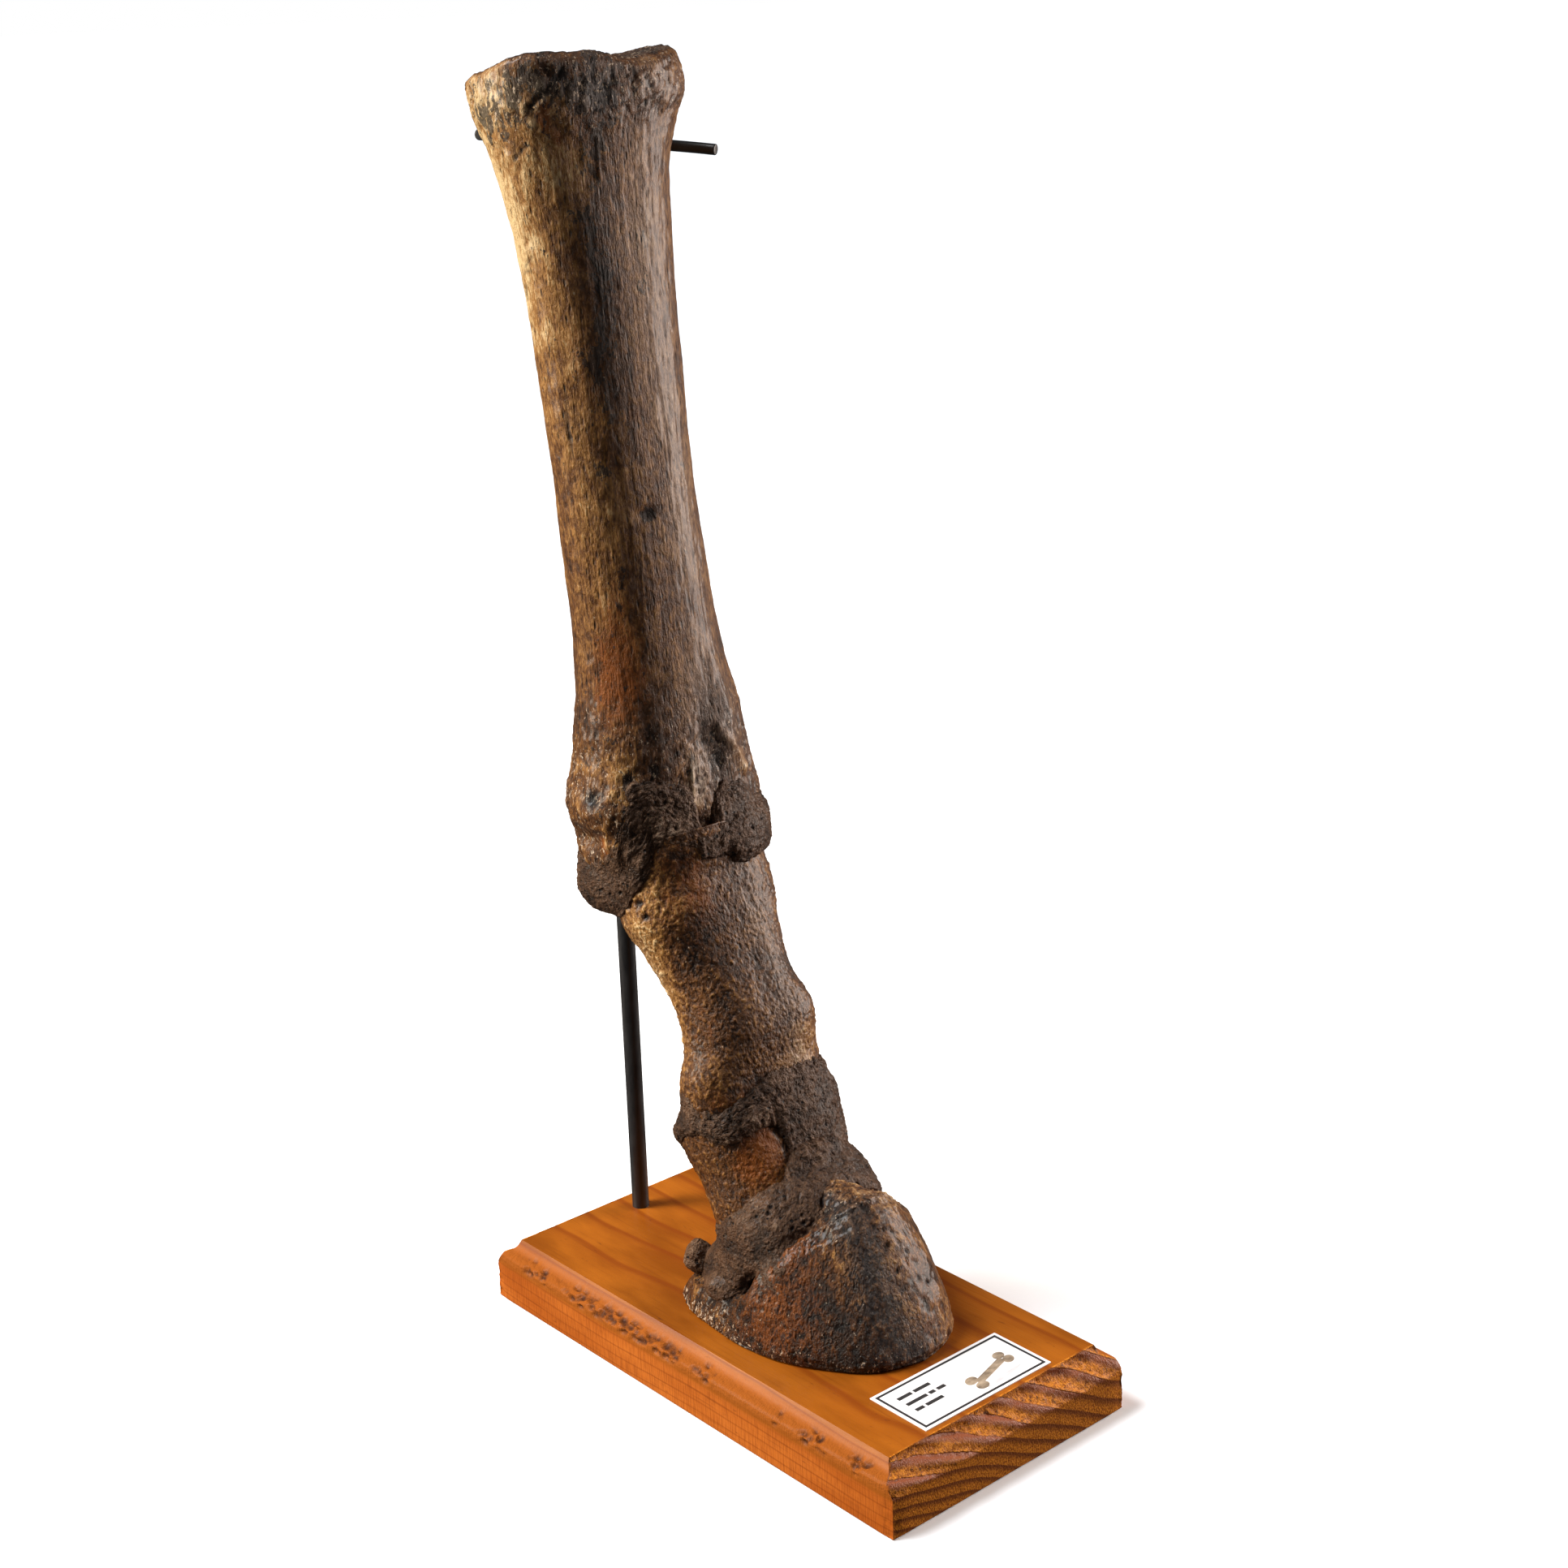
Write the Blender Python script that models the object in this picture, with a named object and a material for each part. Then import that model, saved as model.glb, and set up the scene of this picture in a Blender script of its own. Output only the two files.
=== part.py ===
"""The lower front leg of a fossil horse, standing on its toe on a moulded pine board.

Four bones are set one on the other with dark filler in the joints. A steel rod in the board
carries a bent cradle bar, which holds the cannon bone just under its head.

Lengths in the tables are millimetres, and MM turns them into metres. +Z is up, the toe points
to -Y, and the origin is the middle of the board's underside. Round a bone, angles are in
degrees: 0 is its front, 90 its right (+X), 180 its back and 270 its left.
"""

import math

import bmesh
import bpy
import numpy as np
from mathutils import Vector

MM = 0.001
GAP = 0.3
FILLER_GAP = 0.4  # more, because flat faces stand inside the round shape they follow

BOARD_WIDTH = 102.0
BOARD_LENGTH = 200.0
BOARD_THICKNESS = 22.5
# Height, how far the long sides stand in, how far the ends stand in: a bead and a cove
# along the sides, a longer slanted ogee across the ends.
BOARD_MOULDING = [
    (0.0, 0.6, 0.6),
    (0.6, 0.0, 0.0),
    (13.6, 0.0, 0.0),
    (15.0, 0.0, 0.7),
    (16.6, 0.2, 2.1),
    (17.8, 0.9, 3.3),
    (18.4, 2.0, 4.1),
    (18.9, 3.4, 5.0),
    (20.0, 4.7, 6.2),
    (21.2, 5.3, 7.0),
    (22.5, 6.0, 7.4),
]

ROD_X = 0.7
ROD_Y = 83.3
ROD_DIAMETER = 6.0
ROD_HOLE_DEPTH = 15.0

CRADLE_DIAMETER = 3.5
CRADLE_CENTRE = (-15.0, 33.0)
CRADLE_RADIUS = 53.9
# Degrees from +X, and height of the bar there: the left arm stands a little higher.
CRADLE_RIGHT_END = (27.0, 387.7)
CRADLE_LEFT_END = (117.0, 396.3)
CRADLE_STEPS = 16

LABEL_WIDTH = 55.0
LABEL_DEPTH = 24.6
LABEL_THICKNESS = 0.4
LABEL_Y = -78.1

# A section is: distance down the bone, half sizes to the left, right, front and back, and
# the power of the rounded outline (2 is an ellipse, more is squarer). A lump is: distance
# down, angle, height, spread along and spread round in degrees. A rim entry moves an end
# along the bone: angle, distance, spread round, spread along.
CANNON = {
    "top": (-15.0, 65.0, 419.5),
    "bottom": (0.0, 55.5, 162.0),
    "stations": (0, 2, 6, 12, 18, 24, 30, 36, 44, 52, 64, 80, 100, 124, 146, 168, 184, 196,
                 206, 214, 221, 227, 232, 237, 242, 246, 250, 253, 256, 258),
    "columns": 36,
    "sections": [
        (0, 32.5, 30.5, 20.5, 19.5, 2.6),
        (2, 34.5, 31.8, 23.0, 22.0, 2.7),
        (12, 33.6, 33.0, 24.0, 22.5, 2.7),
        (24, 31.5, 29.0, 22.0, 19.0, 2.5),
        (36, 29.5, 25.5, 20.5, 16.0, 2.4),
        (52, 27.0, 24.8, 19.5, 15.5, 2.25),
        (80, 25.0, 24.0, 19.0, 16.5, 2.15),
        (124, 24.3, 23.3, 18.5, 17.5, 2.05),
        (168, 24.2, 25.0, 19.0, 17.5, 2.05),
        (194, 25.8, 28.0, 20.0, 18.0, 2.15),
        (210, 28.2, 31.0, 21.5, 20.0, 2.3),
        (226, 30.0, 31.5, 22.5, 22.0, 2.5),
        (236, 31.5, 31.0, 23.0, 23.0, 2.6),
        (246, 31.0, 31.0, 21.5, 21.5, 2.7),
        (252, 29.5, 29.5, 17.5, 17.5, 2.8),
        (256, 27.0, 27.0, 11.5, 11.5, 2.8),
        (258, 23.0, 23.0, 6.0, 6.0, 2.6),
    ],
    "lumps": [
        (8, 20, 1.4, 9, 26),      # low tuberosity on the front of the head
        (30, 318, -0.8, 14, 20),  # dip under it
        (230, 283, 3.6, 8, 17),   # knob above the left ligament pit
        (243, 268, -2.6, 4, 10),  # the left ligament pit
        (244, 292, 1.6, 5, 11),
        (208, 35, 1.6, 16, 10),   # ridge at the right of the front hollow
        (220, 12, -2.6, 11, 12),  # the front hollow
        (240, 70, 2.0, 9, 20),
        (247, 0, 2.0, 9, 11),     # the keel of the lower joint, front and back
        (247, 180, 2.0, 9, 11),
    ],
    # The top stands low, but for the front left of its rim; the corner beyond drops off.
    "rim": [
        (0, 3.6, 2000, 12),
        (300, -5.0, 26, 6),
        (340, -3.2, 22, 6),
        (45, 1.8, 22, 5),
        (85, -2.0, 28, 6),
        (225, 3.0, 22, 6),
    ],
    "cap_depth": 1.6,
}

LONG_PASTERN = {
    "top": (0.0, 45.0, 159.5),
    "bottom": (0.0, 12.0, 84.0),
    "stations": (0, 3, 7, 12, 18, 25, 32, 40, 47, 53, 59, 65, 71, 76, 80, 82),
    "columns": 30,
    "sections": [
        (0, 24.5, 24.0, 16.0, 17.0, 2.4),
        (3, 27.5, 26.5, 17.5, 20.0, 2.5),
        (10, 28.0, 26.5, 17.5, 19.0, 2.5),
        (22, 25.0, 24.0, 17.0, 15.0, 2.35),
        (40, 22.3, 21.8, 17.0, 11.8, 2.2),
        (54, 23.5, 23.2, 17.5, 13.0, 2.2),
        (66, 27.5, 24.0, 16.0, 15.5, 2.3),
        (76, 28.0, 24.5, 14.5, 16.0, 2.4),
        (82, 24.5, 21.5, 10.0, 10.0, 2.4),
    ],
    "bend": [(0, 0, 0), (25, 0, 1.0), (50, 0, 3.5), (68, 0, 1.0), (82, 0, 0)],
    "lumps": [
        (52, 55, 2.2, 9, 24),     # knuckle low on the right
        (66, 290, 1.0, 8, 18),
        (38, 0, -0.8, 14, 20),
        (8, 330, 0.8, 6, 16),
    ],
    "cap_depth": 0.0,
}

SHORT_PASTERN = {
    "top": (0.0, 14.5, 80.0),
    "bottom": (0.0, -5.0, 46.0),
    "stations": (0, 3, 8, 14, 20, 26, 32, 36, 39),
    "columns": 30,
    "sections": [
        (0, 25.5, 25.0, 15.0, 16.0, 2.4),
        (3, 28.0, 27.0, 17.0, 18.0, 2.5),
        (12, 27.0, 26.3, 17.0, 16.0, 2.4),
        (24, 27.5, 26.5, 17.0, 15.0, 2.4),
        (33, 27.0, 27.0, 15.0, 14.0, 2.5),
        (39, 24.0, 24.0, 9.0, 9.0, 2.5),
    ],
    "lumps": [(12, 300, -0.9, 7, 22), (24, 315, 0.8, 6, 20)],
    "cap_depth": 0.0,
}

# Angle from the toe, radius of the sole, height of the wall, how far its top stands in.
COFFIN_OUTLINE = [
    (0, 49.0, 48.0, 23.0),
    (20, 46.8, 46.0, 21.0),
    (42, 41.3, 39.5, 17.5),
    (67, 38.0, 33.0, 9.5),
    (82, 36.8, 27.0, 7.0),
    (97, 37.0, 14.0, 4.5),
    (115, 39.5, 11.0, 4.0),
    (132, 44.5, 10.0, 4.0),
    (145, 47.0, 9.0, 5.0),
    (155, 41.0, 9.0, 5.0),
    (168, 27.0, 12.0, 3.0),
    (180, 22.0, 14.0, 2.0),
]
COFFIN_CENTRE_Y = -14.0
COFFIN_COLUMNS = 40
COFFIN_WALL_STEPS = (0.0, 0.04, 0.18, 0.36, 0.56, 0.76, 0.92, 1.0)
COFFIN_TOP_STEPS = (0.12, 0.35, 0.65)
COFFIN_SEAT_Y = 9.0        # the joint surface is lowest this far behind the centre
COFFIN_SEAT_HEIGHT = 19.0
COFFIN_WALL_POWER = 1.5    # above 1 the wall bulges
# Angle, lift and spread of the places where the worn lower edge leaves the board.
COFFIN_EDGE_LIFTS = [(305, 2.0, 20), (350, 0.7, 12), (60, 1.0, 18), (250, 0.8, 12)]

FETLOCK_FILLER = {
    "top": (0.0, 56.0, 188.0),
    "bottom": (0.0, 49.0, 142.0),
    "stations": (0, 4, 9, 14, 19, 24, 29, 34, 39, 43, 46),
    "columns": 30,
    "sections": [
        (0, 24.0, 24.0, 19.0, 18.0, 2.4),
        (6, 27.5, 27.5, 22.5, 21.0, 2.4),
        (16, 30.0, 32.8, 26.0, 24.0, 2.4),
        (26, 29.5, 32.5, 25.0, 24.0, 2.4),
        (36, 27.5, 27.5, 16.0, 22.0, 2.4),
        (46, 20.0, 20.0, 9.0, 13.0, 2.4),
    ],
    "lumps": [
        (31, 232, 5.0, 8, 28),    # where the small bones behind the joint are buried
        (31, 128, 4.0, 8, 28),
        (12, 60, 1.2, 6, 18),
        (22, 20, 1.0, 6, 16),
        (17, 340, -0.8, 5, 14),
        (26, 305, 0.9, 5, 14),
        (14, 180, 1.2, 7, 20),
    ],
    "cap_depth": 0.0,
}

PASTERN_FILLER = {
    "top": (0.0, 19.0, 98.0),
    "bottom": (0.0, 8.0, 70.0),
    "stations": (0, 4, 8, 12, 16, 20, 24, 28, 30),
    "columns": 30,
    "sections": [
        (0, 20.0, 20.0, 12.0, 12.0, 2.3),
        (6, 26.0, 24.0, 16.5, 16.0, 2.3),
        (16, 29.5, 27.8, 19.0, 19.0, 2.3),
        (24, 28.6, 27.8, 18.5, 17.5, 2.3),
        (30, 23.0, 22.0, 14.0, 12.0, 2.3),
    ],
    "lumps": [
        (13, 240, 3.4, 6, 22),
        (12, 60, 0.9, 5, 20),
        (18, 330, 0.7, 4, 14),
        (15, 120, 2.0, 6, 22),
    ],
    "cap_depth": 0.0,
}

COFFIN_FILLER = {
    "top": (0.0, 1.0, 70.0),
    "bottom": (0.0, -12.0, 34.0),
    "stations": (0, 4, 9, 14, 19, 24, 28, 32, 36, 38),
    "columns": 34,
    "sections": [
        (0, 20.0, 21.0, 15.0, 11.0, 2.3),
        (7, 27.0, 27.0, 20.5, 15.5, 2.3),
        (18, 30.0, 29.0, 25.5, 20.5, 2.3),
        (28, 30.5, 29.0, 22.0, 25.0, 2.3),
        (38, 25.0, 24.0, 16.0, 20.0, 2.3),
    ],
    "lumps": [
        (26, 222, 9.0, 6, 17),
        (31, 250, 2.0, 5, 14),
        (25, 138, 4.0, 6, 18),
        (16, 300, 0.9, 5, 16),
        (12, 48, -2.4, 9, 24),
    ],
    "cap_depth": 0.0,
}
# Centre and half sizes of the lumps of filler that stand out at the back of the left wing.
HEEL_KNOB = ((-25.6, 18.0, 38.0), (4.8, 4.6, 6.0))
WING_LUMP = ((-29.0, 6.0, 35.0), (6.4, 6.6, 5.6))

COLOURS = {
    "pine": ((0.60, 0.25, 0.06), 0.35, 0.0),
    "card": ((0.85, 0.85, 0.84), 0.55, 0.0),
    "black_steel": ((0.012, 0.012, 0.013), 0.38, 0.6),
    "shaft_bone": ((0.17, 0.095, 0.045), 0.38, 0.0),
    "pastern_bone": ((0.13, 0.060, 0.030), 0.42, 0.0),
    "coffin_bone": ((0.09, 0.040, 0.020), 0.38, 0.0),
    "filler": ((0.050, 0.032, 0.022), 0.55, 0.0),
}


def clear_scene():
    for obj in list(bpy.data.objects):
        bpy.data.objects.remove(obj, do_unlink=True)


def make_materials():
    made = {}
    for name, (colour, roughness, metallic) in COLOURS.items():
        material = bpy.data.materials.new(name)
        material.use_nodes = True
        shader = material.node_tree.nodes["Principled BSDF"]
        shader.inputs["Base Color"].default_value = (*colour, 1.0)
        shader.inputs["Roughness"].default_value = roughness
        shader.inputs["Metallic"].default_value = metallic
        made[name] = material
    return made


def add_object(name, bm, material, smooth=True):
    """A mesh object from a bmesh: normals face out, and only real edges stay sharp."""
    bmesh.ops.recalc_face_normals(bm, faces=bm.faces[:])
    mesh = bpy.data.meshes.new(name)
    bm.to_mesh(mesh)
    bm.free()
    if smooth:
        mesh.shade_smooth()
        mesh.set_sharp_from_angle(angle=math.radians(50))
    obj = bpy.data.objects.new(name, mesh)
    if material:
        obj.data.materials.append(material)
    bpy.context.scene.collection.objects.link(obj)
    return obj


def hide_helper(obj):
    obj.hide_render = True
    obj.display_type = "WIRE"


def add_boolean(obj, other, operation):
    boolean = obj.modifiers.new(operation.title() + " " + other.name, "BOOLEAN")
    boolean.operation = operation
    boolean.solver = "EXACT"
    boolean.object = other


def smooth_rows(rows, at):
    """The columns of the rows at the wanted distances, on a cubic that never overshoots."""
    table = np.array(rows, float)
    knots, values = table[:, 0], table[:, 1:]
    steps = np.diff(knots)[:, None]
    slopes = np.diff(values, axis=0) / steps
    tangents = np.zeros_like(values)
    tangents[0], tangents[-1] = slopes[0], slopes[-1]
    before, after = slopes[:-1], slopes[1:]
    same_way = before * after > 0
    weight_1 = 2 * steps[1:] + steps[:-1]
    weight_2 = steps[1:] + 2 * steps[:-1]
    divisor = np.where(same_way, weight_1 * after + weight_2 * before, 1.0)
    mean = (weight_1 + weight_2) * before * after / divisor
    tangents[1:-1] = np.where(same_way, mean, 0.0)
    at = np.clip(np.asarray(at, float), knots[0], knots[-1])
    i = np.clip(np.searchsorted(knots, at, side="right") - 1, 0, len(knots) - 2)
    step = steps[i]
    x = ((at - knots[i])[:, None]) / step
    return (
        (1 + 2 * x) * (1 - x) ** 2 * values[i]
        + x * (1 - x) ** 2 * step * tangents[i]
        + x**2 * (3 - 2 * x) * values[i + 1]
        + x**2 * (x - 1) * step * tangents[i + 1]
    )


def turn_from(angles, centre):
    """The signed angle from centre to each angle, between -180 and 180 degrees."""
    return (angles - centre + 180) % 360 - 180


def bone_axes(bone):
    """The start of the bone, and unit vectors along it, to its front and to its right."""
    start = np.array(bone["top"])
    along = np.array(bone["bottom"]) - start
    along /= np.linalg.norm(along)
    front = np.array((0.0, -1.0, 0.0))
    front -= along * (front @ along)
    front /= np.linalg.norm(front)
    right = np.cross(front, along)
    if right[0] < 0:
        right = -right
    return start, along, front, right


def bone_rings(bone):
    """Rings of points round the bone: rounded sections, plus the lumps and the rim."""
    start, along, front, right = bone_axes(bone)
    stations = np.array(bone["stations"], float)
    angles = np.linspace(0, 360, bone["columns"], endpoint=False)
    down, angle = np.meshgrid(stations, angles, indexing="ij")
    sections = smooth_rows(bone["sections"], stations)[:, None, :]
    to_left, to_right, to_front, to_back, power = np.moveaxis(sections, 2, 0)
    sine, cosine = np.sin(np.radians(angle)), np.cos(np.radians(angle))
    side_size = np.where(sine >= 0, to_right, to_left)
    depth_size = np.where(cosine >= 0, to_front, to_back)
    sum_of_powers = np.abs(sine / side_size) ** power + np.abs(cosine / depth_size) ** power
    radius = sum_of_powers ** (-1 / power)
    for lump_down, lump_angle, height, spread, spread_round in bone["lumps"]:
        turned = turn_from(angle, lump_angle)
        nearness = ((down - lump_down) / spread) ** 2 + (turned / spread_round) ** 2
        radius = radius + height * np.exp(-nearness)
    moved = np.zeros_like(down)
    for rim_angle, distance, spread_round, spread in bone.get("rim", ()):
        turned = turn_from(angle, rim_angle)
        moved += distance * np.exp(-((turned / spread_round) ** 2) - (down / spread) ** 2)
    bend = smooth_rows(bone.get("bend", [(0, 0, 0), (1, 0, 0)]), stations)[:, None, :]
    return (
        start
        + (down + moved)[..., None] * along
        + (radius * cosine + bend[..., 1])[..., None] * front
        + (radius * sine + bend[..., 0])[..., None] * right
    )


def loft(rings, cap_shift=(Vector(), Vector())):
    """A closed skin over the rings. Each end is a fan round its middle, which is shifted."""
    bm = bmesh.new()
    loops = [[bm.verts.new(Vector(point) * MM) for point in ring] for ring in rings]
    for upper, lower in zip(loops, loops[1:]):
        for i in range(len(upper)):
            j = (i + 1) % len(upper)
            bm.faces.new((upper[i], upper[j], lower[j], lower[i]))
    for loop, shift in zip((loops[0], loops[-1]), cap_shift):
        cap = bm.faces.new(loop)
        middle = bmesh.ops.poke(bm, faces=[cap])["verts"][0]
        middle.co += shift * MM
    return bm


def bone_mesh(bone):
    _, along, _, _ = bone_axes(bone)
    dip = Vector(along) * bone["cap_depth"]
    return loft(bone_rings(bone), (dip, -dip))


def coffin_mesh():
    """The hoof-shaped bone, as rings from the sole up the wall and in over the joint."""
    angles = np.linspace(0, 360, COFFIN_COLUMNS, endpoint=False)
    outline = smooth_rows(COFFIN_OUTLINE, np.abs(turn_from(angles, 0)))
    sole, wall, inset = outline.T
    sine, cosine = np.sin(np.radians(angles)), np.cos(np.radians(angles))
    sole_height = BOARD_THICKNESS + GAP
    edge = np.zeros_like(angles)
    for lift_angle, lift, spread in COFFIN_EDGE_LIFTS:
        edge += lift * np.exp(-((turn_from(angles, lift_angle) / spread) ** 2))

    def ring(radius, back, height):
        return np.stack(
            (radius * sine, COFFIN_CENTRE_Y - radius * cosine + back, sole_height + height), axis=1
        )

    # The two rings inside the edge make the sole slightly hollow near the rim.
    rings = [ring(sole * 0.45, 0.0, 0.0 * sole), ring(sole * 0.86, 0.0, 0.3 * edge)]
    for part in COFFIN_WALL_STEPS:
        rounding = 0.8 * math.exp(-((part / 0.03) ** 2))
        radius = sole - rounding - inset * part**COFFIN_WALL_POWER
        rings.append(ring(radius, 0.0, edge * (1 - part) + wall * part))
    for part in COFFIN_TOP_STEPS:
        fall = 1 - (1 - part) ** 2
        height = wall * (1 - fall) + COFFIN_SEAT_HEIGHT * fall
        rings.append(ring((sole - inset) * (1 - part), COFFIN_SEAT_Y * part, height))
    return loft(rings)


def ellipsoid_mesh(centre, half_sizes):
    bm = bmesh.new()
    bmesh.ops.create_icosphere(bm, subdivisions=2, radius=1.0)
    bmesh.ops.scale(bm, vec=Vector(half_sizes) * MM, verts=bm.verts[:])
    bmesh.ops.translate(bm, vec=Vector(centre) * MM, verts=bm.verts[:])
    return bm


def grown(bm, distance):
    """Moves every point outwards along its normal."""
    bmesh.ops.recalc_face_normals(bm, faces=bm.faces[:])
    bm.normal_update()
    moves = [vert.normal.copy() * distance * MM for vert in bm.verts]
    for vert, move in zip(bm.verts, moves):
        vert.co += move
    return bm


def add_filler(name, filler, neighbours, material, lumps=()):
    """A collar of filler, less the grown shapes of what it meets."""
    obj = add_object(name, bone_mesh(filler), material)
    for index, lump in enumerate(lumps):
        helper = add_object(f"{name}_lump_{index}", ellipsoid_mesh(*lump), None)
        hide_helper(helper)
        add_boolean(obj, helper, "UNION")
    for index, bm in enumerate(neighbours):
        helper = add_object(f"{name}_room_{index}", grown(bm, FILLER_GAP), None)
        hide_helper(helper)
        add_boolean(obj, helper, "DIFFERENCE")
    return obj


def cylinder_mesh(radius, bottom, top, sides):
    bm = bmesh.new()
    bmesh.ops.create_cone(
        bm,
        cap_ends=True,
        segments=sides,
        radius1=radius * MM,
        radius2=radius * MM,
        depth=(top - bottom) * MM,
    )
    bmesh.ops.translate(bm, vec=(0, 0, (top + bottom) / 2 * MM), verts=bm.verts[:])
    return bm


def add_board(material):
    """The plank as level outlines, each set in by the moulding, with a blind rod hole."""
    rings = []
    for height, side, end in BOARD_MOULDING:
        x, y = BOARD_WIDTH / 2 - side, BOARD_LENGTH / 2 - end
        rings.append([(-x, -y, height), (x, -y, height), (x, y, height), (-x, y, height)])
    board = add_object("wood_base", loft(rings), material)
    hole_bottom = BOARD_THICKNESS - ROD_HOLE_DEPTH
    hole = add_object(
        "rod_hole",
        cylinder_mesh(ROD_DIAMETER / 2 + GAP, hole_bottom, BOARD_THICKNESS + 5, 32),
        None,
    )
    hole.location = (ROD_X * MM, ROD_Y * MM, 0)
    hide_helper(hole)
    add_boolean(board, hole, "DIFFERENCE")


def add_label(material):
    bm = bmesh.new()
    bmesh.ops.create_cube(bm, size=1.0)
    size = Vector((LABEL_WIDTH, LABEL_DEPTH, LABEL_THICKNESS)) * MM
    bmesh.ops.scale(bm, vec=size, verts=bm.verts[:])
    label = add_object("label_card", bm, material, smooth=False)
    middle = BOARD_THICKNESS + GAP + LABEL_THICKNESS / 2
    label.location = (0, LABEL_Y * MM, middle * MM)


def cradle_point(part):
    """A point of the bar's centre line, from 0 at the right tip to 1 at the left tip."""
    right_angle, right_height = CRADLE_RIGHT_END
    left_angle, left_height = CRADLE_LEFT_END
    angle = math.radians(right_angle + (left_angle - right_angle) * part)
    return Vector((
        CRADLE_CENTRE[0] + CRADLE_RADIUS * math.cos(angle),
        CRADLE_CENTRE[1] + CRADLE_RADIUS * math.sin(angle),
        right_height + (left_height - right_height) * part,
    ))


def cradle_over_rod():
    """The point of the bar's centre line that is over the rod."""
    across = (ROD_X - CRADLE_CENTRE[0]) / CRADLE_RADIUS
    angle = math.degrees(math.acos(across))
    part = (angle - CRADLE_RIGHT_END[0]) / (CRADLE_LEFT_END[0] - CRADLE_RIGHT_END[0])
    return cradle_point(part)


def add_rod(material):
    bottom = BOARD_THICKNESS - ROD_HOLE_DEPTH + GAP
    top = cradle_over_rod().z - CRADLE_DIAMETER / 2 - 2 * GAP
    rod = add_object("support_rod", cylinder_mesh(ROD_DIAMETER / 2, bottom, top, 24), material)
    rod.location = (ROD_X * MM, ROD_Y * MM, 0)


def add_cradle(material):
    curve = bpy.data.curves.new("cradle_bar", "CURVE")
    curve.dimensions = "3D"
    curve.bevel_depth = CRADLE_DIAMETER / 2 * MM
    curve.bevel_resolution = 2
    curve.use_fill_caps = True
    line = curve.splines.new("POLY")
    line.points.add(CRADLE_STEPS)
    for index, point in enumerate(line.points):
        point.co = (*(cradle_point(index / CRADLE_STEPS) * MM), 1.0)
    curve.materials.append(material)
    bar = bpy.data.objects.new("cradle_bar", curve)
    bpy.context.scene.collection.objects.link(bar)


def add_bones(materials):
    add_object("cannon_bone", bone_mesh(CANNON), materials["shaft_bone"])
    add_object("long_pastern_bone", bone_mesh(LONG_PASTERN), materials["pastern_bone"])
    add_object("short_pastern_bone", bone_mesh(SHORT_PASTERN), materials["pastern_bone"])
    add_object("coffin_bone", coffin_mesh(), materials["coffin_bone"])


def add_fillers(material):
    add_filler(
        "fetlock_filler",
        FETLOCK_FILLER,
        (bone_mesh(CANNON), bone_mesh(LONG_PASTERN)),
        material,
    )
    add_filler(
        "pastern_filler",
        PASTERN_FILLER,
        (bone_mesh(LONG_PASTERN), bone_mesh(SHORT_PASTERN)),
        material,
    )
    add_filler(
        "coffin_filler",
        COFFIN_FILLER,
        (bone_mesh(SHORT_PASTERN), coffin_mesh(), bone_mesh(PASTERN_FILLER)),
        material,
        lumps=(HEEL_KNOB, WING_LUMP),
    )


def main():
    clear_scene()
    materials = make_materials()
    add_board(materials["pine"])
    add_label(materials["card"])
    add_rod(materials["black_steel"])
    add_cradle(materials["black_steel"])
    add_bones(materials)
    add_fillers(materials["filler"])


main()
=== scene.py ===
# The lower front leg of a fossil horse on its pine board, dressed for a photograph.
# Lengths in the tables are millimetres. +Z is up, the toe points to -Y, and round a bone
# 0 degrees is its front, 90 its right (+X), 180 its back and 270 its left.

import math

import bpy
import numpy as np
from mathutils import Matrix, Vector


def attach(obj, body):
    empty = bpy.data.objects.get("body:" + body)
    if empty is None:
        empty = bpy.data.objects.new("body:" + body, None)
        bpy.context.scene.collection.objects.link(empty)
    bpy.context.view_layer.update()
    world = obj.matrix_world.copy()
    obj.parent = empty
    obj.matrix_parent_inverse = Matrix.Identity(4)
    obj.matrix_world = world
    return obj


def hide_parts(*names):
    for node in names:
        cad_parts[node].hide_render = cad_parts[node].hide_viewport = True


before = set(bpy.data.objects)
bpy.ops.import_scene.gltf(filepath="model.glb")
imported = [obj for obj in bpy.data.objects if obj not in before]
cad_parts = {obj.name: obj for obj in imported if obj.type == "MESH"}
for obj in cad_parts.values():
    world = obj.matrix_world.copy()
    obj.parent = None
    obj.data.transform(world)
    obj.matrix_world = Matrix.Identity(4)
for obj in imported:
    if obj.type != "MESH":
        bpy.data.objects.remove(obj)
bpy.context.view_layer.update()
mm = 0.001
print("frame loaded:", len(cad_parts), "nodes")


hashFactors = {"corner": (374761393, 668265263, 974634777), "seed": 144269504, "mix": 1274126177}
hashMask = 0xFFFFFFFF


def cornerHash(corner, seed):
    # a whole number below 2^32 for each lattice corner: its places and the seed are added,
    # each times a large factor, and shifts and one more product mix the bits
    mixed = (corner @ np.array(hashFactors["corner"]) + seed * hashFactors["seed"]) & hashMask
    mixed = ((mixed ^ (mixed >> 13)) * hashFactors["mix"]) & hashMask
    return mixed ^ (mixed >> 16)


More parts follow.
